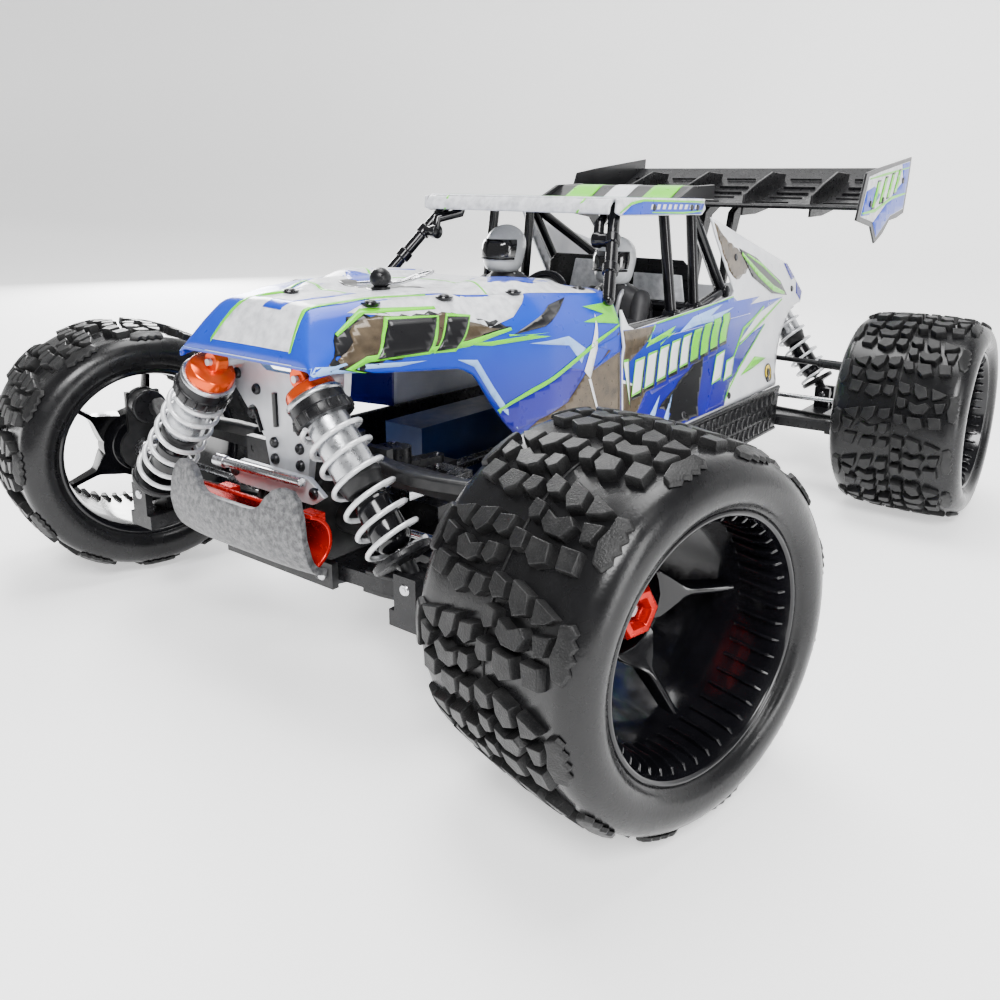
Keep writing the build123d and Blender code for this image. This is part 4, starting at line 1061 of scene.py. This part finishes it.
# ---------------------------------------------------------------- small parts
def dress_cad():
    """Finishes of the CAD nodes that are not replaced."""
    finishes = {
        "chassis_plate": CHASSIS, "side_guards": PLASTIC, "gearbox_cases": DARK,
        "shock_towers": GREY_PLATE, "roll_cage": GLOSS, "battery_and_esc": WRAP, "drive_motor": ALLOY,
        "steering_servo": PLASTIC, "spur_gear": STEEL, "motor_pinion": STEEL, "drag_link": STEEL,
        "bellcrank_left": PLASTIC, "bellcrank_right": PLASTIC, "tie_rod_fl": STEEL, "tie_rod_fr": STEEL,
    }
    for name in CORNERS:
        finishes[f"lower_arm_{name}"] = PLASTIC
        finishes[f"driveshaft_{name}"] = STEEL
        if name[0] == "f":
            finishes[f"knuckle_{name}"] = DARK
            finishes[f"ball_races_{name}"] = DARK
            finishes[f"upper_arm_{name}"] = DARK
        else:
            finishes[f"upright_{name}"] = DARK
            finishes[f"upper_link_{name}"] = PLASTIC
    for node, mat in finishes.items():
        finish_node(node, mat)


# ---------------------------------------------------------------- bumper and front end
def bumper():
    """Moulded bumper with two round lobes, curled back at its lower edge, and the red band behind it."""
    half = [(10, 85.5), (17, 86), (21.5, 88.5), (24.5, 92.5), (28.5, 96), (33, 97.8), (38.5, 97.2),
            (42.6, 93.6), (45, 87), (46.2, 79), (46.6, 71), (45.6, 64), (44, 60.5)]
    outline = half + [(-x, z) for x, z in reversed(half)]
    path = [(60, -274.5), (62, -280.5), (65, -284.2), (70, -286.8), (78, -288.3), (88, -287.6), (98, -285.6)]

    def face_y(x, z):
        for (z0, y0), (z1, y1) in zip(path, path[1:]):
            if z <= z1:
                break
        t = max(0, min(1, (z - z0) / (z1 - z0)))
        return y0 + (y1 - y0) * t + 2.2 * (x / 46) ** 4

    flat, faces = gridded(outline, 3)
    points = [(x, face_y(x, z), z) for x, z in flat]
    piece("bumper_shell", (points, faces), "chassis", BUMPER, thick=3.2, bevel=0.7, smooth=55,
          weld=False, replaces=["front_bumper"])

    outer, inner = [], []
    for n in range(17):
        turn = math.radians(-62 + n * 134 / 16)
        a, b = -286 + 15.5 * math.cos(turn), 73.6 + 13.5 * math.sin(turn)
        outer.append((a, b))
        inner.append((a - 1.7 * math.cos(turn), b - 1.7 * math.sin(turn)))
    brace = merge(prism(outer + inner[::-1], "yz", -43.6, 43.6),
                  *[block((s * 30 - 5, s * 30 + 5), (-272, -266.6), (64, 82)) for s in (-1, 1)])
    piece("bumper_band", brace, "chassis", RED, bevel=0.4, smooth=50,
          replaces=["bumper_braces"])


TOWER_FACE = -257.7
HOLDER_FACE = -266.4


def front_details():
    """Cover ribs and screws of the front gearbox, its tie bar, and the tower's screws."""
    y, z, r = -240, 69.25, 23.0
    ribs = []
    for x in (-17, -12.5, -8, 8, 12.5, 17):
        arc = [(y - math.cos(a) * (r + 0.6), z + math.sin(a) * (r + 0.6))
               for a in (math.radians(d) for d in range(-30, 131, 10))]
        ribs.append(tube([(x, b, c) for b, c in arc], 1.15, 8))
    for angle in (10, 38, 66, 94):
        a = math.radians(angle)
        at = Vector((0, y - math.cos(a) * (r + 0.3), z + math.sin(a) * (r + 0.3)))
        ribs.append(bar(at - Vector((17, 0, 0)), at + Vector((17, 0, 0)), 0.9, 8))
    cover = lathe([(-19.5, 8), (-19.5, 19), (-18.4, 21), (-18, 21), (-18, 8)], 48)
    piece("front_gearbox_ribs", merge(*ribs, moved(both(cover), Matrix.Translation((0, y, z)))),
          "chassis", DARK, bevel=0.2)
    holder = prism([(-34, 88), (-24, 95), (24, 95), (34, 88), (26, 83), (-26, 83)], "xz", HOLDER_FACE,
                   HOLDER_FACE + 3)
    piece("front_pin_holder", holder, "chassis", GREY_PLATE, bevel=0.5)
    piece("front_tie_bar", merge(bar((-37, -269.6, 93.2), (24, -269.6, 94.0), 2.3, 20),
                                 bar((-37.8, -269.6, 93.2), (-30, -269.6, 93.3), 3.0, 20)), "chassis", STEEL,
          bevel=0.3)
    heads, sockets = [], []
    places = [((x, HOLDER_FACE, 89), (0, -1, 0)) for x in (-28, 28)]
    places += [((s * 30, -267.2, 52), (0, -1, 0)) for s in (-1, 1)]
    places += [((s * 9, TOWER_FACE, z_), (0, -1, 0)) for s in (-1, 1) for z_ in (96, 104)]
    places += [((s * 20, TOWER_FACE, 128), (0, -1, 0)) for s in (-1, 1)]
    places += [((s * x, TOWER_FACE, z_), (0, -1, 0)) for s in (-1, 1) for x, z_ in ((24, 116), (34, 134))]
    for at, direction in places:
        head, socket = screw_head(at, direction, 2.7, 1.7)
        heads.append(head)
        sockets.append(socket)
    piece("front_screws", merge(*heads), "chassis", SCREW, bevel=0.2)
    # Painted shade: thin gloss black hexagons on the screw heads stand in for the shade inside their sockets.
    piece("front_screw_socket_shades", merge(*sockets), "chassis", GLOSS)
    # Painted shade: gloss black bars on the tower's face stand in for the dark openings of its slots.
    slots = []
    for s in (-1, 1):
        for a, b, wide in (((s * 7, 112), (s * 7, 128), 3.2), ((s * 18, 108), (s * 22, 118), 2.6)):
            slots.append(tube([(a[0], TOWER_FACE, a[1]), (b[0], TOWER_FACE, b[1])], wide * 0.5, 10))
    piece("front_tower_slot_shades", merge(*slots), "chassis", GLOSS)


def corner_details():
    """Brackets, pivot caps and screws that show at each corner."""
    for name in CORNERS:
        place = at_corner(name)
        arm = f"lower_arm_{name}"
        if name[0] == "f":
            edge = [(52, -20.6), (62, -20.2), (130, -8.6), (130, -6.4), (62, -16), (52, -17)]
            edges = [prism(edge, "xy", 55.2, 57.2), prism([(a, -b) for a, b in edge], "xy", 55.2, 57.2)]
            edges.append(prism([(50, -20.5), (60, -20), (104, -13), (104, -10.8), (60, -17.4), (50, -18)],
                               "xy", 46.2, 48.7))
            piece(f"arm_ribs_{name}", merge(*edges), arm, DARK, place, bevel=0.5)
            bracket = [(106, -14.2), (124, -11.4), (134, -9.4), (134, -7.6), (122, -8.8), (106, -11.4)]
            piece(f"arm_bracket_{name}", prism(bracket, "xy", 46.4, 58.4), arm, GREY_PLATE,
                  place, bevel=0.7)
            heads = [screw_head((x, y, z), (-0.16, -1, 0), 3.0, 1.6)
                     for x, y, z in ((113, -13.1, 52.2), (126.6, -10.9, 52.2))]
            piece(f"arm_screws_{name}", merge(*[h[0] for h in heads]), arm, SCREW, place, bevel=0.2)
            cap_place = DESIGN @ corner(name, True)
            caps = []
            for z in (54.0, 98.0):
                ring = [(0, 9.6), (4.2, 9.6), (5, 8.8), (5, 6.6), (3.4, 6.4), (3.4, 0.4)]
                caps.append(spindle((151, 0, z), (152, 0, z), ring, 32))
                caps.append(spindle((144.2, 0, z), (143, 0, z),
                                    [(0, 9.4), (3.2, 9.4), (3.8, 8.6), (3.8, 7.4)], 32))
            piece(f"pivot_caps_{name}", merge(*caps), f"knuckle_{name}", PLASTIC,
                  cap_place, bevel=0.35)
            blade = []
            for n in range(9):
                t = n / 8
                x = 40 + 88 * t
                y = -3 - 17 * math.sin(math.pi * min(1, t * 0.95)) ** 1.5
                z = 100.8 + 2.2 * t + 4 * math.sin(math.pi * t)
                blade.append([(x, y - 3.4, z - 3.2), (x, y + 3.4, z - 3.2), (x, y + 3.4, z + 1.6),
                              (x, y + 2, z + 2.6), (x, y - 2, z + 2.6), (x, y - 3.4, z + 1.6)])
            piece(f"upper_blade_{name}", rings(blade), f"upper_arm_{name}", DARK,
                  place, bevel=0.5)
        else:
            edge = [(50, -16.6), (62, -16), (130, -8.8), (130, -6.4), (62, -12.4), (50, -13.4)]
            edges = [prism(edge, "xy", 55.2, 57.4), prism([(a, -b) for a, b in edge], "xy", 55.2, 57.4)]
            piece(f"arm_ribs_{name}", merge(*edges), arm, DARK, place, bevel=0.5)
        pins = []
        half = 27.6 if name[0] == "f" else 23.2
        for s in (-1, 1):
            pins.append(screw_head((32, s * half, 52), (0, s, 0), 2.5, 1.4)[0])
        piece(f"hinge_pin_heads_{name}", merge(*pins), arm, STEEL, place, bevel=0.2)


# ---------------------------------------------------------------- cockpit
FIGURES = [(30.0, -20.0, 179.0), (-30.0, -58.0, 185.0)]


def ellipse(centre, wide, deep, steps=24):
    """Flat ring of points."""
    x, y, z = centre
    turns = [2 * math.pi * n / steps for n in range(steps)]
    return [(x + wide * math.cos(t), y + deep * math.sin(t), z) for t in turns]


def helmet(x, y, z):
    """Full-face shell, its visor and the band under the visor."""
    levels = [(-14.6, 7.5, -1.5), (-13.6, 10.6, -2.4), (-10, 12.6, -2.8), (-5, 13.4, -2.2), (0, 13.9, -0.8),
              (5, 13.6, 0.2), (9, 12.0, 0.8), (12.4, 9.0, 1.2), (14.6, 5.2, 1.4), (15.4, 1.2, 1.4)]
    shell = rings([ellipse((x, y + shift, z + h), r * 0.94, r * 1.04, 32) for h, r, shift in levels])
    visor = []
    for h, r in ((-4.6, 13.0), (-4.4, 14.1), (-1, 14.7), (3, 14.8), (6.2, 13.9), (6.6, 12.6)):
        shift = -2.0 + (h + 5) * 0.2
        front = []
        for n in range(17):
            turn = math.radians(198 + n * 144 / 16)
            front.append((x + r * 0.96 * math.cos(turn), y + shift + r * 1.04 * math.sin(turn), z + h))
        back = [(a + (x - a) * 0.14, b + (y + shift - b) * 0.14, c) for a, b, c in reversed(front)]
        visor.append(front + back)
    rim_band = tube([(x + 14.1 * 0.95 * math.cos(t), y - 2.2 + 14.4 * math.sin(t), z - 5.4)
                     for t in (math.radians(200 + n * 14) for n in range(11))], 0.7, 8)
    return shell, rings(visor), rim_band


def figures():
    """Two seated drivers with closed helmets."""
    for (x, y, z), tag in zip(FIGURES, ("near", "far")):
        shell, visor, band = helmet(x, y, z)
        piece(f"helmet_{tag}", shell, "chassis", SHELL, subdivide=1, smooth=60,
              replaces=["driver_figures"] if tag == "near" else ())
        piece(f"visor_{tag}", visor, "chassis", VISOR, smooth=50, bevel=0.3)
        piece(f"visor_rim_{tag}", band, "chassis", PLASTIC, smooth=60)
        body = rings([ellipse((x, y + shift, z + h), wide, deep) for h, wide, deep, shift in (
            (-66, 17, 13, 5), (-52, 18, 13, 5), (-38, 19.5, 13, 4.5), (-27, 21, 12, 4), (-20, 20, 10.4, 3),
            (-16.4, 13, 8.8, 2), (-13.4, 7.4, 7.4, 0), (-10, 7, 7, 0))])
        limbs = [body]
        for s in (-1, 1):
            shoulder = Vector((x + s * 17.5, y + 3, z - 22))
            elbow = Vector((x + s * 21, y - 7, z - 41))
            hand = Vector((x + s * 9, y - 27, z - 36))
            limbs.append(spindle(shoulder, elbow, [(-4, 3.4), (-2, 6.0), (4, 6.6), (12, 5.6), (19, 5.6),
                                                   (24, 4)], 18))
            limbs.append(spindle(elbow, hand, [(-3, 3.6), (0, 5.6), (8, 5.2), (16, 4.2), (21, 3.8), (26, 4.6),
                                               (30, 3)], 18))
        piece(f"driver_suit_{tag}", merge(*limbs), "chassis", SUIT, subdivide=1, smooth=60)
        straps = []
        for s in (-1, 1):
            path = [(x + s * 7.5, y + 8, z - 16.6), (x + s * 8.4, y - 2, z - 15.6),
                    (x + s * 8.2, y - 7.8, z - 22), (x + s * 6.4, y - 9.2, z - 34),
                    (x + s * 2.6, y - 9.4, z - 46)]
            straps.append(tube(path, 1.5, 8))
        piece(f"harness_{tag}", merge(*straps), "chassis", GREY_PLATE, smooth=60)
        seat = prism([(y + 15, z - 64), (y + 22, z - 64), (y + 24, z - 30), (y + 20, z - 24),
                      (y + 16.6, z - 30)], "yz", x - 16, x + 16)
        piece(f"seat_{tag}", seat, "chassis", PLASTIC, bevel=2.2, segments=3)


def cockpit():
    """Tray, dash, steering wheel and bulkhead."""
    tray = prism([(-70, -99), (70, -99), (68, 60), (-68, 60)], "xy", 112.4, 113.9)
    dash = prism([(-103, 118), (-96.5, 150), (-92, 164), (-97, 168), (-103, 168)], "yz", -70, 70)
    piece("cockpit_tray", tray, "chassis", DARK, bevel=0.4)
    piece("dash", dash, "chassis", DARK, bevel=1.5, segments=3)
    lean = Matrix.Translation((9, -72, 157)) @ Matrix.Rotation(math.radians(66), 4, "X")
    hoop = [(16 * math.cos(t), 16 * math.sin(t), 0) for t in (2 * math.pi * n / 40 for n in range(40))]
    column = bar((0, 0, 0), (0, 0, -34), 2.4, 12)
    piece("steering_wheel", moved(merge(tube(hoop, 2.8, 12, closed=True), column), lean), "chassis", GLOSS,
          smooth=60)
    hub_cap = spindle((0, 0, -1), (0, 0, 1), [(-2, 13.6), (0, 14), (2.4, 12.4), (3.8, 8), (4.2, 0.6)], 40)
    piece("steering_wheel_pad", moved(hub_cap, lean), "chassis", SHELL, smooth=50)
    panel = prism([(-60, 116), (-58, 172), (-52, 178), (52, 178), (58, 172), (60, 116)], "xz", 30, 32)
    piece("rear_bulkhead", panel, "chassis", PLASTIC, bevel=0.8)
    piece("bulkhead_plate", prism([(-40, 150), (-34, 175), (-4, 175), (0, 150)], "xz", 28.6, 30.2), "chassis",
          MOTTLED, bevel=0.6)
    piece("bulkhead_plate_near", prism([(14, 150), (15, 168), (52, 168), (55, 150)], "xz", 28.6, 30.2),
          "chassis", MOTTLED, bevel=0.6)


# ---------------------------------------------------------------- cage, guards, wing
RAIL_Z = 213.0


def cage_details():
    """Clamped joints of the roll cage, and the short stays under its front corners."""
    knobs = []
    for s in (-1, 1):
        for x, y, z in ((62, -76, RAIL_Z), (65, -25, RAIL_Z), (64, 14, RAIL_Z), (74, -25, 148), (70, 14, 149),
                        (67, 62, 156)):
            knobs.append(spindle((s * (x - 5), y, z), (s * (x + 5), y, z),
                                 [(0, 3.2), (0.8, 4.4), (9.2, 4.4), (10, 3.2)], 20))
        a, b = Vector((s * 62, -76, RAIL_Z)), Vector((s * 83, -114, 166))
        along = (b - a).normalized()
        for t in (24, 44):
            knobs.append(spindle(a + along * (t - 3.4), a + along * (t + 3.4),
                                 [(0, 3.5), (0.7, 4.5), (6.1, 4.5), (6.8, 3.5)], 20))
        hub = a + along * 24
        knobs.append(spindle(hub, hub - Vector((s * 9, 0, 0)),
                             [(0, 3.8), (7, 3.8), (8, 4.6), (11.4, 4.6), (12, 3.6)], 20))
        stay = [hub - Vector((s * 9, 0, 0)), hub + Vector((-s * 10, 1.5, 8)), Vector((s * 54, -74, 207)),
                Vector((s * 52, -73, 214))]
        knobs.append(tube(stay, 3.0, 14))
    piece("cage_joints", merge(*knobs), "chassis", GLOSS, bevel=0.3, smooth=50)


def guard_face(z):
    """Outer face of a side guard at a height, over its upper wall."""
    return 88 + (z - 48) * 2 / 32


GUARD_ENDS = (-149.6, 126.6)


def guards():
    """Embossed six-sided pattern and a rolled rim on both side guards."""
    shapes = []
    lowest, rows, pitch = 49.0, 3, 9.3
    for row in range(rows):
        z = lowest + 5 + row * 10
        for n in range(30):
            y = -147 + n * pitch + (pitch / 2 if row % 2 else 0)
            if y > 121:
                continue
            x = guard_face(z)
            outer = [(y - 3.9, z), (y - 2.2, z + 4.3), (y + 2.2, z + 4.3), (y + 3.9, z), (y + 2.2, z - 4.3),
                     (y - 2.2, z - 4.3)]
            inner = [(y + (b - y) * 0.52, z + (c - z) * 0.52) for b, c in outer]
            middle = [(y + (b - y) * 0.9, z + (c - z) * 0.9) for b, c in outer]
            sections = [[(guard_face(c) - 0.6, b, c) for b, c in outer],
                        [(guard_face(c) + 0.9, b, c) for b, c in middle],
                        [(x + 0.25, b, c) for b, c in inner]]
            shapes.append(rings(sections))
    for x, z, radius in ((guard_face(80) - 1, 80, 1.7), (87.6, 48, 1.5)):
        shapes.append(bar((x, GUARD_ENDS[0], z), (x, GUARD_ENDS[1], z), radius, 12))
    piece("guard_pattern", both(merge(*shapes)), "chassis", PLASTIC, smooth=30)


END_PLATE = [(168, 239), (200, 244), (291, 256), (288.5, 236), (282, 210), (262, 206), (240, 204), (224, 194),
             (204, 187), (190, 200), (152, 205)]


def wing():
    """Wing plane with fins, its stays and the painted end plates."""
    profile = [(170, 212), (185, 212.8), (200, 214), (220, 217.4), (240, 222), (262, 231.6), (284, 242.6),
               (285.6, 246.4), (283.4, 246.8), (262, 236), (238, 225.4), (220, 221), (200, 217.4),
               (185, 216.2), (172, 215.8), (169.4, 214)]
    plane = prism(profile, "yz", -127, 127)
    shapes = [plane]
    for x in (-86, -30, 30, 86):
        fin = [(172, 206), (175, 222.5), (200, 232), (232, 242), (262, 241), (256, 226), (240, 217),
               (225, 211), (200, 207)]
        shapes.append(prism(fin, "yz", x - 0.9, x + 0.9))
    for n in range(6):
        y = 184 + n * 15
        z = 217 + max(0, y - 200) * 0.27 + max(0, y - 240) * 0.2
        for x0 in (-120, -80, -24, 36, 92):
            shapes.append(block((x0, x0 + 28), (y, y + 1.2), (z - 1.4, z + 0.5)))
    stays = []
    for s in (1, -1):
        stay = [(178.7, 118), (182.7, 118), (183.4, 150), (192, 180), (204, 205), (226, 215), (226, 218.4),
                (200, 213.8), (190, 208), (181, 176), (178.7, 152)]
        stays.append(prism(stay, "yz", *sorted((s * 10, s * 16))))
        stays.append(bar((s * 8, 181, 128), (s * 18, 181, 128), 3.2, 16))
    piece("wing_plane", merge(*shapes), "chassis", PLASTIC, bevel=0.35, replaces=["rear_wing"])
    piece("wing_stays", merge(*stays), "chassis", PLASTIC, bevel=0.8)
    heads = []
    for s, tag in ((1, "l"), (-1, "r")):
        plate = piece(f"end_plate_{tag}", prism(END_PLATE, "yz", *sorted((s * 127, s * 128.7))), "chassis",
                      BLACK, bevel=0.4)
        coat = coater(surface_of(plate), "left" if s > 0 else "right", 6)
        inner = [(174, 236.5), (202, 241), (286, 252.5), (283, 236), (277.4, 213.5), (240, 207.6),
                 (205, 191.4), (192.4, 203.6), (160, 207.6)]
        coat("end_plate_white", [inner], MOTTLED, 1)
        low_blue = [(193, 203), (205, 191.8), (240, 208), (277, 214), (283, 236), (286, 252), (262, 249),
                    (270, 236), (236, 222)]
        front_blue = [(161, 208), (182, 209), (206, 224), (190, 230), (170, 226)]
        coat("end_plate_blue", [low_blue, front_blue], BLUE, 2)
        slash = [[(186 + n * 19, 214 + n * 4), (194 + n * 19, 215 + n * 4), (205 + n * 19, 234 + n * 3.4),
                  (197 + n * 19, 233 + n * 3.4)] for n in range(4)]
        coat("end_plate_slash_edges", [grown(o, 1.6) for o in slash], BLACK, 3)
        coat("end_plate_slashes", slash, LIME, 4)
        coat("end_plate_lime", [strip([(164, 210), (196, 212), (240, 222), (280, 226)], 2.6),
                                strip([(176, 235), (220, 240), (284, 247)], 2.0)], LIME, 3)
        for y, z in ((182, 217), (214, 220), (268, 236)):
            heads.append(screw_head((s * 128.7, y, z), (s, 0, 0), 2.6, 1.3)[0])
    piece("wing_screws", merge(*heads), "chassis", SCREW, bevel=0.2)


# ---------------------------------------------------------------- body hardware
def hood_height(tree, x, y):
    """Height of the hood over a place."""
    return tree.ray_cast(Vector((x, y, 400)), Vector((0, 0, -1)))[0].z


def hood_hardware(tree):
    """Countersunk body screws, the black ball post and its wire clip."""
    heads, cups = [], []
    for x, y in ((-15, -240), (39, -240), (51, -206), (-51, -206), (63, -170), (-63, -170), (66, -118),
                 (-66, -118)):
        z = hood_height(tree, x, y)
        cups.append(spindle((x, y, z), (x, y, z + 1), [(-1.4, 3.4), (0.1, 4.4), (0.5, 4.2), (0.55, 2.8)], 28))
        heads.append(screw_head((x, y, z + 0.2), (0, 0, 1), 2.7, 1.2)[0])
    piece("hood_screw_cups", merge(*cups), "chassis", GLOSS, smooth=50)
    piece("hood_screws", merge(*heads), "chassis", SCREW, bevel=0.2)
    x, y = 23.7, -219
    z = hood_height(tree, x, y)
    post = spindle((x, y, z), (x, y, z + 1), [(-4, 3.2), (0.4, 4.6), (1.4, 4.4), (1.6, 3)], 28)
    piece("body_post", merge(post, ball((x, y, z + 5.4), 5.0, 28)), "chassis", PLASTIC,
          smooth=60)
    wire = [(x - 12, y - 3, z + 2.4), (x - 4, y - 1, z + 3.2), (x + 3, y + 1, z + 3.2),
            (x + 9, y + 3.5, z + 3.6), (x + 15, y + 8, z + 6), (x + 18, y + 14, z + 8),
            (x + 14.5, y + 19, z + 8.4), (x + 7.5, y + 17, z + 6.4), (x + 5, y + 10, z + 4),
            (x + 3, y + 4.6, z + 3.2), (x - 6, y + 1.6, z + 2.8)]
    curve = smooth_path(wire)
    piece("body_clip", tube(curve, 0.85, 10), "chassis", STEEL, smooth=70)


def smooth_path(points, steps=6):
    """Curve through points."""
    points = [Vector(p) for p in points]
    ends = [points[0] * 2 - points[1], *points, points[-1] * 2 - points[-2]]
    path = []
    for a, b, c, d in zip(ends, ends[1:], ends[2:], ends[3:]):
        for n in range(steps):
            t = n / steps
            path.append(0.5 * (2 * b + (c - a) * t + (2 * a - 5 * b + 4 * c - d) * t * t
                               + (3 * b - a - 3 * c + d) * t ** 3))
    return path + [points[-1]]


def side_hardware():
    """Screws of the side panels and of the roof's sides."""
    heads = []
    for s in (1, -1):
        for y, z in ((-96, 90), (-30, 88), (40, 88), (112, 88), (176, 150), (60, 180)):
            heads.append(screw_head((s * panel_x(y, z), y, z), (s, 0, 0.1), 2.5, 1.1)[0])
        for y in (-48, 0, 8):
            heads.append(screw_head((s * 71.6, y, RAIL_Z), (s, 0, 0), 2.0, 0.9)[0])
    piece("side_screws", merge(*heads), "chassis", SCREW, bevel=0.2)


# ---------------------------------------------------------------- stage and light
def stage():
    """Pale paper floor, turned up behind the car."""
    size = 12.0
    points = []
    for y, z in ((-2.2, 0), (1.4, 0), (1.75, 0.06), (2.0, 0.3), (2.1, 0.8), (2.1, 3.0)):
        points.append([(-size, y, z), (size, y, z)])
    shape = [p for row in points for p in row], [(2 * i, 2 * i + 1, 2 * i + 3, 2 * i + 2) for i in range(5)]
    mesh = bpy.data.meshes.new("floor")
    mesh.from_pydata(shape[0], [], shape[1])
    mesh.shade_smooth()
    paper = surface("floor_paper", (0.93, 0.93, 0.93), rough=0.7, second=(0.9, 0.9, 0.9), spots=2, mix=0.3)
    shader = paper.node_tree.nodes["Principled BSDF"]
    shader.inputs["Emission Color"].default_value = (1, 1, 1, 1)
    shader.inputs["Emission Strength"].default_value = 0.75
    mesh.materials.append(paper)
    floor = bpy.data.objects.new("floor", mesh)
    bpy.context.scene.collection.objects.link(floor)


def lamp(name, at, target, size, power, colour=(1, 1, 1)):
    """Soft rectangular lamp aimed at a point, in metres."""
    data = bpy.data.lights.new(name, "AREA")
    data.shape = "RECTANGLE"
    data.size, data.size_y = size
    data.energy = power
    data.color = colour
    made = bpy.data.objects.new(name, data)
    bpy.context.scene.collection.objects.link(made)
    made.location = at
    made.rotation_mode = "QUATERNION"
    made.rotation_quaternion = (Vector(target) - Vector(at)).to_track_quat("-Z", "Y")


def lights():
    """Even white world and four soft lamps."""
    world = bpy.data.worlds.new("studio")
    bpy.context.scene.world = world
    world.use_nodes = True
    world.node_tree.nodes["Background"].inputs[0].default_value = (1, 1, 1, 1)
    world.node_tree.nodes["Background"].inputs[1].default_value = 0.3
    lamp("key", (0.9, -1.3, 1.5), (0, 0, 0.1), (0.7, 0.7), 52)
    lamp("top", (-0.2, 0.1, 1.7), (0, 0, 0.1), (0.8, 1.3), 42)
    lamp("rim", (-1.4, 0.6, 0.8), (0, 0, 0.1), (0.4, 1.4), 40)
    lamp("low", (1.5, -0.5, 0.35), (0.15, -0.2, 0.08), (0.3, 0.9), 12)


tyres()
wheels()
shocks()
hood_piece = hood()
sides = side_panels()
hood_tree = surface_of(hood_piece)
hood_top_paint(hood_tree)
for side in ("left", "right"):
    hood_paint(hood_tree, side)
    door_paint(surface_of(sides[side[0]]), side)
hood_hardware(hood_tree)
side_hardware()
roof()
bumper()
front_details()
corner_details()
figures()
cockpit()
cage_details()
guards()
wing()
dress_cad()
stage()
lights()
